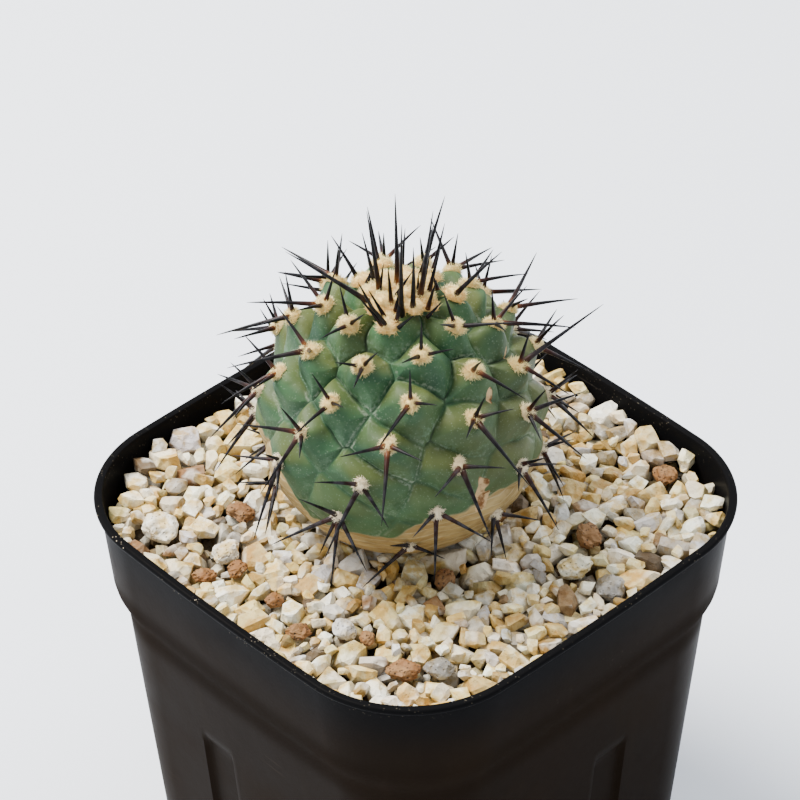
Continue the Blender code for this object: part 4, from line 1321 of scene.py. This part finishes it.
def stonePiece(name, members, material):
    parts = []
    for points, faces, color, gloss, porous in members:
        depth = surfaceLevel(points[:, 0], points[:, 1]) - points[:, 2]
        low = smoothShare(depth, gravel["shadeFrom"], gravel["shadeTo"])
        count = len(points)
        parts.append((points, faces, np.tile(color, (count, 1)), np.full(count, gloss),
                      np.full(count, porous), low))
    points, faces, color, gloss, porous, low = joined(parts)
    return newPiece(name, points, faces, material, floats={"gloss": gloss, "porous": porous, "low": low},
                    colors={"grainColor": color}, sharp=gravel["sharpAngle"])


def makeGravel():
    random = np.random.default_rng(gravel["seed"])
    worn = [grainShape(random, int(random.integers(*gravel["cuts"])), gravel["bevel"])
            for _ in range(gravel["shapes"])]
    plain = [grainShape(random, gravel["plainCuts"], 0) for _ in range(gravel["plainShapes"])]
    placed = dropGrains(random)
    material = gravelMaterial()
    sectors = [[] for _ in range(gravel["sectors"])]
    for place in placed:
        x, y, z, _, _, c, _ = place
        showing = z + c > surfaceLevel(x, y) - gravel["shell"]
        sectors[sectorOf(x, y)].append(looseGrain(random, place, worn if showing else plain))
    for row in bigStones:
        stone = largerStone(random, row)
        kind, node = row[5:]
        if node is None:
            sectors[sectorOf(*row[:2])].append(stone)
            continue
        piece = stonePiece(node + "Detailed", [stone], material)
        settle(piece, "brown_stone" if kind == "brown" else "white_stone", node)
    for number, members in enumerate(sectors):
        settle(stonePiece(f"gravelGrains{number + 1}", members, material), "gravel", "gravel")
    print("gravel grains:", len(placed))


bed = {"thickness": 8 * mm, "clearance": 0.3 * mm, "rings": 24, "unevenness": 0.5 * mm}


def makeBed():
    # the grit that closes the gaps under the loose grains
    paint = Paint("gritBed")
    grit = paint.cells(520, output="Color")
    shade = paint.grain(700, detail=4)
    color = paint.mix(0.55, (0.26, 0.19, 0.11), grit, blend="MULTIPLY")
    color = paint.mix(shade.above(0.4, 0.7) * 0.6, color, (0.34, 0.25, 0.14))
    material = paint.finish({"Base Color": color, "Roughness": 0.95,
                             "Normal": paint.bump(paint.cells(520), 1.2 * mm, 0.8)})
    level = globe["gravelTop"] - gravel["bedDepth"]
    inside = pot["wall"] + bed["clearance"]
    sections = [potSection(z, wallInset(z) + inside) for z in (level - bed["thickness"], level)]
    edge = sections[-1]
    for share in np.linspace(0.96, 0.04, bed["rings"]):
        ring = edge.copy()
        ring[:, :2] *= share
        ring[:, 2] += [bed["unevenness"] * noise.noise(Vector((p[0], p[1], 0)) * 420) for p in ring]
        sections.append(ring)
    faces = closedFaces(len(sections), len(edge))
    settle(newPiece("gritBed", np.concatenate(sections), faces, material), "gravel", "gravel")


def paintPottingMix():
    # the potting mix shows only through the drain holes
    paint = Paint("pottingMixCrumb")
    crumbs = paint.cells(650, output="Color")
    color = paint.mix(0.5, (0.075, 0.048, 0.028), crumbs, blend="MULTIPLY")
    color = paint.mix(paint.grain(900, detail=4).above(0.6, 0.75) * 0.5, color, (0.30, 0.24, 0.17))
    material = paint.finish({"Base Color": color, "Roughness": 0.95,
                             "Normal": paint.bump(paint.cells(650), 1 * mm, 0.9)})
    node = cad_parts["potting_mix"]
    node.data.materials.clear()
    node.data.materials.append(material)


makeBed()
makeGravel()
paintPottingMix()
print("gravel ready")
